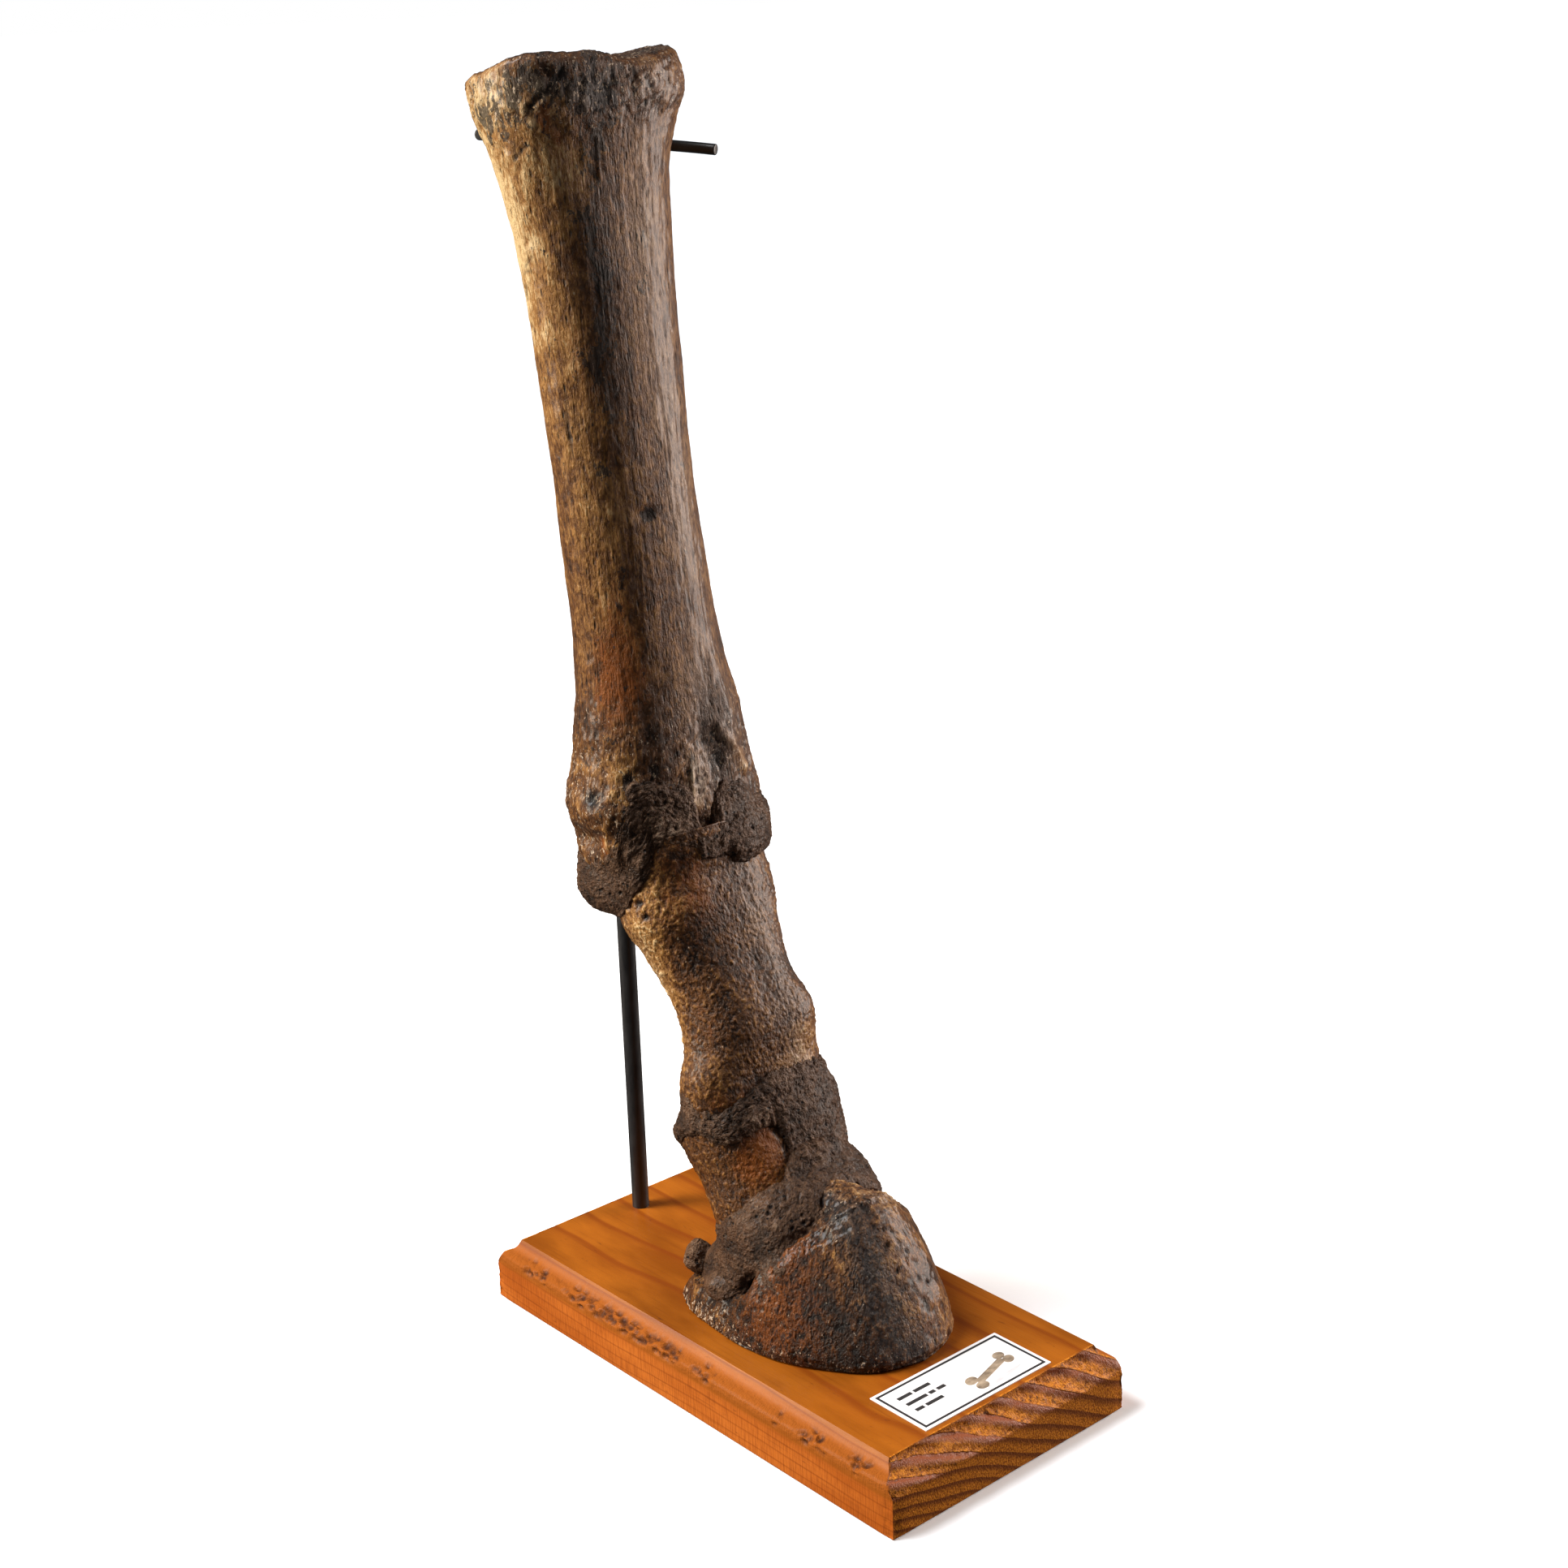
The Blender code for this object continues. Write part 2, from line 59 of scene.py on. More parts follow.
def slopeNoise(points, seed):
    # gradient noise: every lattice corner has a slope from a whole-number hash, and the
    # eight slopes round a point are blended with 6x^5 - 15x^4 + 10x^3; about -0.7 to 0.7
    cell = np.floor(points).astype(np.int64)
    part = points - cell
    blend = part**3 * (part * (part * 6 - 15) + 10)
    total = np.zeros(points.shape[:-1])
    for corner in range(8):
        step = np.array(((corner >> 2) & 1, (corner >> 1) & 1, corner & 1))
        mixed = cornerHash(cell + step, seed)
        away = part - step
        slope = (
            ((mixed & 1023) / 511.5 - 1) * away[..., 0]
            + (((mixed >> 10) & 1023) / 511.5 - 1) * away[..., 1]
            + (((mixed >> 20) & 1023) / 511.5 - 1) * away[..., 2]
        )
        weight = np.where(step == 1, blend, 1 - blend).prod(axis=-1)
        total += weight * slope
    return total


def layeredNoise(points, wavelength, layers, seed, fade=0.55):
    # sum of noises, each half as wide and fade times as high as the one before
    total, height, size = 0.0, 1.0, wavelength
    for layer in range(layers):
        total = total + height * slopeNoise(points / size, seed + layer * 17)
        height, size = height * fade, size / 2.03
    return total


def pitField(points, spacing, share, size, seed):
    # round dents: one jittered point in each cell, of which a share is kept; 1 - (d/size)^2
    # at distance d from the nearest kept one
    scaled = points / spacing
    cell = np.floor(scaled).astype(np.int64)
    best = np.full(points.shape[:-1], 9.0)
    for number in range(27):
        step = np.array((number // 9 - 1, number // 3 % 3 - 1, number % 3 - 1))
        key = cell + step
        mixed = cornerHash(key, seed)
        jitter = np.stack(((mixed & 255), (mixed >> 8) & 255, (mixed >> 16) & 255), -1) / 255.0
        distance = np.linalg.norm(key + jitter - scaled, axis=-1)
        best = np.where(((mixed >> 24) & 255) < share * 256, np.minimum(best, distance), best)
    return np.clip(1 - (best * spacing / size) ** 2, 0, 1)


def smoothTable(rows, at):
    # the table's columns at the wanted places, on a cubic that never overshoots
    table = np.array(rows, float)
    knots, values = table[:, 0], table[:, 1:]
    steps = np.diff(knots)[:, None]
    slopes = np.diff(values, axis=0) / steps
    tangents = np.zeros_like(values)
    tangents[0], tangents[-1] = slopes[0], slopes[-1]
    before, after = slopes[:-1], slopes[1:]
    sameWay = before * after > 0
    weightOne = 2 * steps[1:] + steps[:-1]
    weightTwo = steps[1:] + 2 * steps[:-1]
    divisor = np.where(sameWay, weightOne * after + weightTwo * before, 1.0)
    mean = (weightOne + weightTwo) * before * after / divisor
    tangents[1:-1] = np.where(sameWay, mean, 0.0)
    at = np.clip(np.asarray(at, float), knots[0], knots[-1])
    i = np.clip(np.searchsorted(knots, at, side="right") - 1, 0, len(knots) - 2)
    step = steps[i]
    x = (at - knots[i])[..., None] / step
    return (
        (1 + 2 * x) * (1 - x) ** 2 * values[i]
        + x * (1 - x) ** 2 * step * tangents[i]
        + x**2 * (3 - 2 * x) * values[i + 1]
        + x**2 * (x - 1) * step * tangents[i + 1]
    )


def turned(angles, centre):
    # signed angle from centre, -180 to 180
    return (angles - centre + 180) % 360 - 180


def ease(low, high, x):
    # 0 below low, 1 above high, 3x^2 - 2x^3 between
    x = np.clip((x - low) / (high - low), 0, 1)
    return x * x * (3 - 2 * x)


def facing(angle, centre, spread):
    # bell round a bone: exp(-(turn from the centre / spread)^2)
    return np.exp(-((turned(angle, centre) / spread) ** 2))


def spot(down, angle, place):
    # bell: exp(-(down distance / spread)^2 - (turn / spread round)^2)
    middle, centre, spread, spreadRound = place
    turn = turned(angle, centre)
    return np.exp(-(((down - middle) / spread) ** 2) - (turn / spreadRound) ** 2)


def lineDistance(down, angle, line, radius):
    # distance on the skin from a straight line between two (down, angle) places, where an
    # angle is worth its arc at the radius
    (downA, angleA), (downB, angleB) = line
    perDegree = math.radians(1) * radius
    across = turned(angle, angleA) * perDegree
    alongX, alongY = downB - downA, turned(angleB, angleA) * perDegree
    length = alongX**2 + alongY**2
    share = np.clip(((down - downA) * alongX + across * alongY) / length, 0, 1)
    return np.hypot(down - downA - share * alongX, across - share * alongY)


straight = [(0, 0, 0), (1, 0, 0)]  # the bend of a bone that has none
noReach = 50.0  # a gap over this, in mm, says that the bone doesn't reach the place


def boneAxes(bone):
    # from top to bottom; the front is -Y made square to that, and the right square to both
    start = np.array(bone["top"], float)
    along = np.array(bone["bottom"], float) - start
    along /= np.linalg.norm(along)
    front = np.array((0.0, -1.0, 0.0))
    front -= along * (front @ along)
    front /= np.linalg.norm(front)
    right = np.cross(front, along)
    return start, along, front, right if right[0] > 0 else -right


def sectionRadius(bone, down, angle):
    # rounded sections |sin/side|^p + |cos/depth|^p = 1/r^p, plus bell-shaped lumps
    sections = smoothTable(bone["sections"], down)
    toLeft, toRight, toFront, toBack, power = np.moveaxis(sections, -1, 0)
    sine, cosine = np.sin(np.radians(angle)), np.cos(np.radians(angle))
    side = np.where(sine >= 0, toRight, toLeft)
    depth = np.where(cosine >= 0, toFront, toBack)
    radius = (np.abs(sine / side) ** power + np.abs(cosine / depth) ** power) ** (-1 / power)
    for middle, centre, height, spread, spreadRound in bone["lumps"]:
        radius = radius + height * spot(down, angle, (middle, centre, spread, spreadRound))
    return radius


def boneRings(bone, down, angle):
    # the sections set along the axis; the rim entries move a ring along the bone, and the
    # bend moves it to the front or side
    start, along, front, right = boneAxes(bone)
    downs, angles = np.meshgrid(down, angle, indexing="ij")
    radius = sectionRadius(bone, downs, angles)
    moved = np.zeros_like(downs)
    for centre, distance, spreadRound, spread in bone.get("rim", ()):
        moved += distance * spot(downs, angles, (0, centre, spread, spreadRound))
    bend = smoothTable(bone.get("bend", straight), downs)
    sine, cosine = np.sin(np.radians(angles)), np.cos(np.radians(angles))
    points = (
        start
        + (downs + moved)[..., None] * along
        + (radius * cosine + bend[..., 1])[..., None] * front
        + (radius * sine + bend[..., 0])[..., None] * right
    )
    return points, downs, angles


def alongBone(bone, points):
    # places from the bone's top: to its right, to its front and down it
    start, along, front, right = boneAxes(bone)
    away = points - start
    return np.stack((away @ right, away @ front, away @ along), -1)


def sideways(angles, front, right):
    # directions of length 1 square to the axis, at angles from the front
    turn = np.radians(angles)[..., None]
    return np.cos(turn) * front + np.sin(turn) * right


def skinGap(bone, points):
    # how far each point stands outside the bone's skin, square to its axis; past its ends
    # noReach + 10. The hoof bone's skin is sole - inset * part^power at each height
    if "outline" in bone:
        toRight, toFront = points[..., 0], bone["centreY"] - points[..., 1]
        turn = np.abs(np.degrees(np.arctan2(toRight, toFront)))
        sole, wall, inset = np.moveaxis(smoothTable(bone["outline"], turn), -1, 0)
        part = (points[..., 2] - bone["soleHeight"]) / wall
        radius = sole - inset * np.clip(part, 0, 1) ** bone["wallPower"]
        within = (part > 0) & (part < 1)
        return np.where(within, np.hypot(toRight, toFront) - radius, noReach + 10)
    start, along, front, right = boneAxes(bone)
    away = points - start
    down = away @ along
    bend = smoothTable(bone.get("bend", straight), down)
    toRight, toFront = away @ right - bend[..., 0], away @ front - bend[..., 1]
    radius = sectionRadius(bone, down, np.degrees(np.arctan2(toRight, toFront)))
    within = (down >= bone["sections"][0][0]) & (down <= bone["sections"][-1][0])
    return np.where(within, np.hypot(toRight, toFront) - radius, noReach + 10)


def wrapRadius(axes, downs, angles, bones, guess):
    # the reach of the widest bone under each point of a collar: from the guess the radius
    # moves by the gap to the skin, six times; 0 where no bone lies
    start, along, front, right = axes
    base = start + downs[..., None] * along
    way = sideways(angles, front, right)
    widest = np.zeros_like(downs)
    for bone in bones:
        radius = guess
        for step in range(6):
            gap = skinGap(bone, base + radius[..., None] * way)
            radius = np.where(gap > noReach, radius, radius - gap)
        widest = np.where(gap > noReach, widest, np.maximum(widest, radius))
    return widest


def boneGrid(bone, rows, columns, capRows, dips=(0.0, 0.0)):
    # the rings, with each end closed by rings that shrink to a pole over a shallow dish
    first, last = bone["sections"][0][0], bone["sections"][-1][0]
    angle = np.arange(columns) * 360 / columns
    points, downs, angles = boneRings(bone, np.linspace(first, last, rows), angle)
    along = boneAxes(bone)[1]

    def cap(ring, count, dip):
        middle = ring.mean(axis=0)
        share = (np.arange(1, count) / count)[:, None, None]
        return middle + (ring - middle) * share + dip * (1 - share**2) * along

    tops = cap(points[0], capRows[0], dips[0])
    bottoms = cap(points[-1], capRows[1], -dips[1])[::-1]
    allPoints = np.concatenate((tops, points, bottoms))
    topDowns, bottomDowns = np.full(tops.shape[:2], first), np.full(bottoms.shape[:2], last)
    allDowns = np.concatenate((topDowns, downs, bottomDowns))
    allAngles = np.broadcast_to(angles[:1], allDowns.shape)
    return allPoints, allDowns, allAngles


def outward(points, quads, triangles):
    # a closed skin, with all its faces turned round if its signed volume is negative
    halves = (quads[:, [0, 1, 2]], quads[:, [0, 2, 3]], triangles)
    corners = np.concatenate([points[half] for half in halves])
    if np.linalg.det(corners).sum() < 0:
        quads, triangles = quads[:, ::-1], triangles[:, ::-1]
    return points, quads, triangles


def closedSkin(grid):
    # a grid that wraps round, with a pole at each end: points, quads and triangles
    rows, columns = grid.shape[:2]
    poles = np.stack((grid[0].mean(axis=0), grid[-1].mean(axis=0)))
    points = np.concatenate((grid.reshape(-1, 3), poles))
    index = np.arange(rows * columns).reshape(rows, columns)
    beside = np.roll(index, -1, axis=1)
    quads = np.stack((index[:-1], beside[:-1], beside[1:], index[1:]), axis=-1).reshape(-1, 4)
    top, bottom = rows * columns, rows * columns + 1
    fans = np.concatenate((
        np.stack((np.full(columns, top), beside[0], index[0]), axis=-1),
        np.stack((np.full(columns, bottom), index[-1], beside[-1]), axis=-1),
    ))
    return outward(points, quads, fans)


def withPoles(field):
    # a field of the grid as one row, with the mean of its ends for the two poles
    return np.concatenate((field.ravel(), (field[0].mean(), field[-1].mean())))


def skinNormals(points, quads, triangles):
    # mean of the face normals round each point, weighted by face area
    total = np.zeros_like(points)
    faces = ((quads, (0, 2), (1, 3)), (triangles, (0, 1), (0, 2)))
    for corners, (a, b), (c, d) in faces:
        if not len(corners):
            continue
        normal = np.cross(
            points[corners[:, b]] - points[corners[:, a]], points[corners[:, d]] - points[corners[:, c]]
        )
        for corner in range(corners.shape[1]):
            for axis in range(3):
                total[:, axis] += np.bincount(corners[:, corner], normal[:, axis], len(points))
    return total / np.maximum(np.linalg.norm(total, axis=1), 1e-9)[:, None]


def carved(skin, relief):
    # each point moved along its normal by the relief
    points, quads, triangles = skin
    return points + skinNormals(points, quads, triangles) * relief[:, None], quads, triangles


def makePiece(name, skin, finish, nodes, fields=(), sharp=None):
    # one mesh at the origin from points in millimetres, riding the stand
    points, quads, triangles = skin
    mesh = bpy.data.meshes.new(name)
    corners = np.concatenate((quads.ravel(), triangles.ravel())).astype(np.int32)
    starts = np.concatenate((
        np.arange(len(quads)) * 4,
        len(quads) * 4 + np.arange(len(triangles)) * 3,
    )).astype(np.int32)
    mesh.vertices.add(len(points))
    mesh.loops.add(len(corners))
    mesh.polygons.add(len(starts))
    mesh.vertices.foreach_set("co", (points * mm).astype(np.float32).ravel())
    mesh.loops.foreach_set("vertex_index", corners)
    mesh.polygons.foreach_set("loop_start", starts)
    mesh.update(calc_edges=True)
    mesh.validate()
    mesh.shade_smooth()
    if sharp:
        mesh.set_sharp_from_angle(angle=math.radians(sharp))
    for label, values in dict(fields).items():
        layer = mesh.attributes.new(label, "FLOAT", "POINT")
        layer.data.foreach_set("value", np.asarray(values, np.float32))
    mesh.materials.append(finish)
    piece = bpy.data.objects.new(name, mesh)
    bpy.context.scene.collection.objects.link(piece)
    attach(piece, "root")
    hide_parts(*nodes)
    print(name, len(quads) * 2 + len(triangles), "triangles")


class Wire:
    # one socket of a material; sums and products of wires add Math nodes
    def __init__(self, finish, socket):
        self.finish = finish
        self.socket = socket

    def __add__(self, other):
        return self.finish.math("ADD", self, other)

    def __sub__(self, other):
        return self.finish.math("SUBTRACT", self, other)

    def __rsub__(self, other):
        return self.finish.math("SUBTRACT", other, self)

    def __mul__(self, other):
        return self.finish.math("MULTIPLY", self, other)

    def __pow__(self, other):
        return self.finish.math("POWER", self, other)

    __radd__ = __add__
    __rmul__ = __mul__

    def between(self, low, high):
        # 0 at low, 1 at high, smooth
        settings = {"interpolation_type": "SMOOTHSTEP"}
        values = {"Value": self, "From Min": low, "From Max": high}
        return self.finish.node("ShaderNodeMapRange", settings, values)[0]

    def clamped(self):
        return self.finish.node("ShaderNodeClamp", {}, {"Value": self})[0]


class Finish:
    # one Principled material, built by calls
    def __init__(self, name):
        self.material = bpy.data.materials.new(name)
        self.material.use_nodes = True
        self.tree = self.material.node_tree
        self.shader = self.tree.nodes["Principled BSDF"]
        self.place = self.node("ShaderNodeTexCoord", {}, {})[3]

    def give(self, socket, value):
        # links a wire, or sets a value or a colour
        if isinstance(value, Wire):
            self.tree.links.new(value.socket, socket)
        elif isinstance(value, tuple) and len(value) == 3 and socket.type == "RGBA":
            socket.default_value = (*value, 1.0)
        else:
            socket.default_value = value

    def node(self, kind, settings, values):
        # any node: its settings first, then its sockets; the outputs come back as wires
        made = self.tree.nodes.new(kind)
        for key, value in settings.items():
            if key == "stops":
                self.setStops(made.color_ramp, value)
            else:
                setattr(made, key, value)
        for key, value in values.items():
            self.give(made.inputs[key], value)
        return [Wire(self, socket) for socket in made.outputs]

    def setStops(self, ramp, stops):
        while len(ramp.elements) < len(stops):
            ramp.elements.new(0.5)
        for element, (at, colour) in zip(ramp.elements, stops):
            element.position = at
            element.color = (*colour, 1.0)

    def math(self, operation, a, b):
        return self.node("ShaderNodeMath", {"operation": operation}, {0: a, 1: b})[0]

    def mix(self, a, b, share):
        return self.node("ShaderNodeMix", {"data_type": "RGBA"}, {0: share, 6: a, 7: b})[2]

    def ramp(self, value, stops):
        return self.node("ShaderNodeValToRGB", {"stops": stops}, {"Fac": value})[0]

    def field(self, name):
        # an attribute painted on the mesh
        return self.node("ShaderNodeAttribute", {"attribute_name": name}, {})[2]

    def stretched(self, sizes, tilt=(0, 0, 0)):
        # the place divided by sizes in millimetres, along axes turned by tilt degrees
        values = {
            "Vector": self.place,
            "Rotation": tuple(math.radians(angle) for angle in tilt),
            "Scale": tuple(size * mm for size in sizes),
        }
        return self.node("ShaderNodeMapping", {"vector_type": "TEXTURE"}, values)[0]

    def noise(self, vector, detail, roughness, distortion=0.0):
        values = {
            "Vector": vector,
            "Scale": 1.0,
            "Detail": detail,
            "Roughness": roughness,
            "Distortion": distortion,
        }
        return self.node("ShaderNodeTexNoise", {}, values)[0]

    def cells(self, vector):
        # distance to the nearest of scattered points
        values = {"Vector": vector, "Scale": 1.0, "Randomness": 1.0}
        return self.node("ShaderNodeTexVoronoi", {"feature": "F1"}, values)

    def bump(self, height, distance, strength=1.0):
        # height is in units of the distance in millimetres
        values = {"Height": height, "Distance": distance * mm, "Strength": strength}
        return self.node("ShaderNodeBump", {}, values)[0]

    def shade(self, **values):
        names = {
            "colour": "Base Color",
            "roughness": "Roughness",
            "metallic": "Metallic",
            "normal": "Normal",
            "coat": "Coat Weight",
            "coatRoughness": "Coat Roughness",
            "specular": "Specular IOR Level",
            "glow": "Emission Strength",
        }
        for key, value in values.items():
            self.give(self.shader.inputs[names[key]], value)
        return self.material


fossilColours = {
    "black": (0.007, 0.0055, 0.005),
    "umber": (0.028, 0.0110, 0.0045),
    "brown": (0.110, 0.041, 0.0100),
    "ochre": (0.34, 0.165, 0.046),
    "pale": (0.72, 0.52, 0.27),
    "rust": (0.26, 0.070, 0.008),
    "stain": (0.013, 0.0125, 0.014),
    "chipAndGlint": (0.60, 0.46, 0.33),
    "greyUmber": (0.030, 0.020, 0.016),
    "greyBrown": (0.098, 0.064, 0.047),
    "greyOchre": (0.23, 0.165, 0.125),
    "greyPale": (0.50, 0.41, 0.33),
}


def fossilFinish(name, look):
    # tone runs from black through brown to pale: the piece's own tone field, plus broad,
    # mottled, fibre and grain noise, and the grey field turns it grey: in places the bone's own
    # grey, down the right sides a painted sheen of the right lamp. Ragged blue-black stains, rust,
    # pores and light specks lie over it where their fields and noises add up past a threshold;
    # the specks are partly pale chips and partly painted glints
    finish = Finish(name)
    colours = fossilColours
    tilt = look["tilt"]
    broad = finish.noise(finish.stretched((15, 15, 24), tilt), 3, 0.5)
    mottle = finish.noise(finish.stretched((4.5, 4.5, 7), tilt), 7, 0.68, 0.6)
    specks = finish.noise(finish.stretched((1.2, 1.2, 2.2), tilt), 4, 0.7)
    fibres = finish.noise(finish.stretched(look["fibre"], tilt), 5, 0.65, 0.2)
    grain = finish.noise(finish.stretched(look["grainSize"], tilt), 2, 0.55)
    pores = finish.cells(finish.stretched(look["poreSize"], tilt))[0]
    poreMask = 1 - pores.between(0.08, 0.24)
    tone = (
        finish.field("tone")
        + (broad - 0.5) * look["broad"]
        + (mottle - 0.5) * look["mottle"]
        + (fibres - 0.5) * look["streak"]
        + (grain - 0.5) * look["grain"]
    )
    warmRamp = [
        (0.0, colours["black"]),
        (0.25, colours["umber"]),
        (0.50, colours["brown"]),
        (0.75, colours["ochre"]),
        (1.0, colours["pale"]),
    ]
    coolRamp = [
        (0.0, colours["black"]),
        (0.27, colours["greyUmber"]),
        (0.52, colours["greyBrown"]),
        (0.78, colours["greyOchre"]),
        (1.0, colours["greyPale"]),
    ]
    # grey from noise and the grey field; where that field lies down the right sides it is painted sheen
    # of the right lamp
    cool = (finish.field("cool") + (broad - 0.5) * 0.9 + (mottle - 0.5) * 0.7).clamped()
    base = finish.mix(finish.ramp(tone, warmRamp), finish.ramp(tone, coolRamp), cool)
    rust = finish.field("rust") + (mottle - 0.5) * 1.5 + (specks - 0.5) * 0.8
    base = finish.mix(base, colours["rust"], rust.between(0.25, 0.80) * look["rust"])
    stain = finish.field("stain") + (mottle - 0.5) * 3.0 + (specks - 0.5) * 1.5
    base = finish.mix(base, colours["stain"], stain.between(0.46, 0.57) * 0.82)
    # black in the pores and in the hollows that the field marks
    dirt = (finish.field("dirt") + poreMask * look["pores"]).clamped()
    base = finish.mix(base, colours["black"], dirt * 0.9)
    # light specks, partly pale chips and partly painted glints, more where the fleck field is high
    chips = finish.noise(finish.stretched((1.1, 1.1, 1.6), tilt), 3, 0.7)
    chipAndGlint = (chips + finish.field("fleck") * 0.20).between(0.69, 0.74)
    base = finish.mix(base, colours["chipAndGlint"], chipAndGlint * 0.75)
    height = (
        fibres * look["bumpFibre"]
        + grain * look["bumpGrain"]
        + mottle * look["bumpMottle"]
        + specks * look["bumpSpeck"]
        - poreMask * look["bumpPore"]
    )
    roughness = look["roughness"] + (mottle - 0.5) * 0.30 + (specks - 0.5) * 0.25
    return finish.shade(
        colour=base,
        roughness=roughness,
        normal=finish.bump(height, 1.0, 1.0),
        coat=look["coat"],
        coatRoughness=0.20,
        specular=0.20,
    )


fillerLook = {
    "brighter": 0.47,
    "tones": [
        (0.0, (0.006, 0.005, 0.0045)),
        (0.30, (0.024, 0.0125, 0.0070)),
        (0.55, (0.070, 0.036, 0.019)),
        (0.80, (0.155, 0.092, 0.055)),
        (1.0, (0.42, 0.30, 0.21)),
    ],
    "brown": (0.130, 0.055, 0.021),
    "dirt": (0.005, 0.004, 0.004),
    "roughness": 0.44,
    "coat": 0.08,
}


def fillerFinish(name):
    # brown-black grains of three sizes, with brown and light crumbs and black pores
    finish = Finish(name)
    broad = finish.noise(finish.stretched((12, 12, 12)), 4, 0.6)
    crumbs = finish.noise(finish.stretched((2.2, 2.2, 2.2)), 6, 0.7)
    grain = finish.noise(finish.stretched((1.05, 1.05, 1.05)), 3, 0.6)
    holes = finish.cells(finish.stretched((4.2, 4.2, 3.6)))[0]
    holeMask = 1 - holes.between(0.07, 0.17)
    tone = (
        finish.field("tone")
        + (broad - 0.5) * 0.9
        + (crumbs - 0.5) * 1.1
        + (grain - 0.5) * 0.9
        + fillerLook["brighter"]
    )
    base = finish.ramp(tone, fillerLook["tones"])
    brown = (finish.field("brown") + (broad - 0.5) * 1.1).clamped()
    base = finish.mix(base, fillerLook["brown"], brown * 0.50)
    # black in the holes and the pits
    base = finish.mix(base, fillerLook["dirt"], (holeMask + finish.field("dirt")).clamped())
    height = grain * 1.9 + crumbs * 0.9 - holeMask * 0.7
    return finish.shade(
        colour=base,
        roughness=fillerLook["roughness"] + (crumbs - 0.5) * 0.5,
        normal=finish.bump(height, 1.0, 1.0),
        coat=fillerLook["coat"],
        coatRoughness=0.22,
        specular=0.22,
    )


cannonBone = {
    "top": (-15.0, 65.0, 419.5),
    "bottom": (0.0, 55.5, 162.0),
    "sections": [  # down the bone, half sizes to the left, right, front, back, roundness
        (0, 32.5, 30.5, 20.5, 19.5, 2.6),
        (2, 34.5, 31.8, 23.0, 22.0, 2.7),
        (12, 33.6, 33.0, 24.0, 22.5, 2.7),
        (24, 31.5, 29.0, 22.0, 19.0, 2.5),
        (36, 29.5, 25.5, 20.5, 16.0, 2.4),
        (52, 27.0, 24.8, 19.5, 15.5, 2.25),
        (80, 25.0, 24.0, 19.0, 16.5, 2.15),
        (124, 24.3, 23.3, 18.5, 17.5, 2.05),
        (168, 24.2, 25.0, 19.0, 17.5, 2.05),
        (194, 25.8, 28.0, 20.0, 18.0, 2.15),
        (210, 28.2, 31.0, 21.5, 20.0, 2.3),
        (226, 30.0, 31.5, 22.5, 22.0, 2.5),
        (236, 31.5, 31.0, 23.0, 23.0, 2.6),
        (246, 31.0, 31.0, 21.5, 21.5, 2.7),
        (252, 29.5, 29.5, 17.5, 17.5, 2.8),
        (256, 27.0, 27.0, 11.5, 11.5, 2.8),
        (258, 23.0, 23.0, 6.0, 6.0, 2.6),
    ],
    "lumps": [  # down, angle, height, spread, spread round
        (8, 20, 1.4, 9, 26),
        (30, 318, -0.8, 14, 20),
        (230, 283, 3.6, 8, 17),
        (229, 248, 1.8, 7, 20),
        (243, 264, -3.2, 4, 14),
        (244, 292, 1.6, 5, 11),
        (208, 35, 1.6, 16, 10),
        (217, 12, -1.5, 9, 11),
        (240, 70, 2.0, 9, 20),
        (247, 0, 2.0, 9, 11),
        (247, 180, 2.0, 9, 11),
    ],
    "rim": [
        (0, 3.6, 2000, 12),
        (300, -5.0, 26, 6),
        (340, -3.2, 22, 6),
        (45, -0.9, 26, 5),
        (85, -2.0, 28, 6),
        (225, 3.0, 22, 6),
    ],
    "rows": 350,
    "columns": 250,
    "capRows": (30, 8),
    "dips": (1.6, 1.6),
}

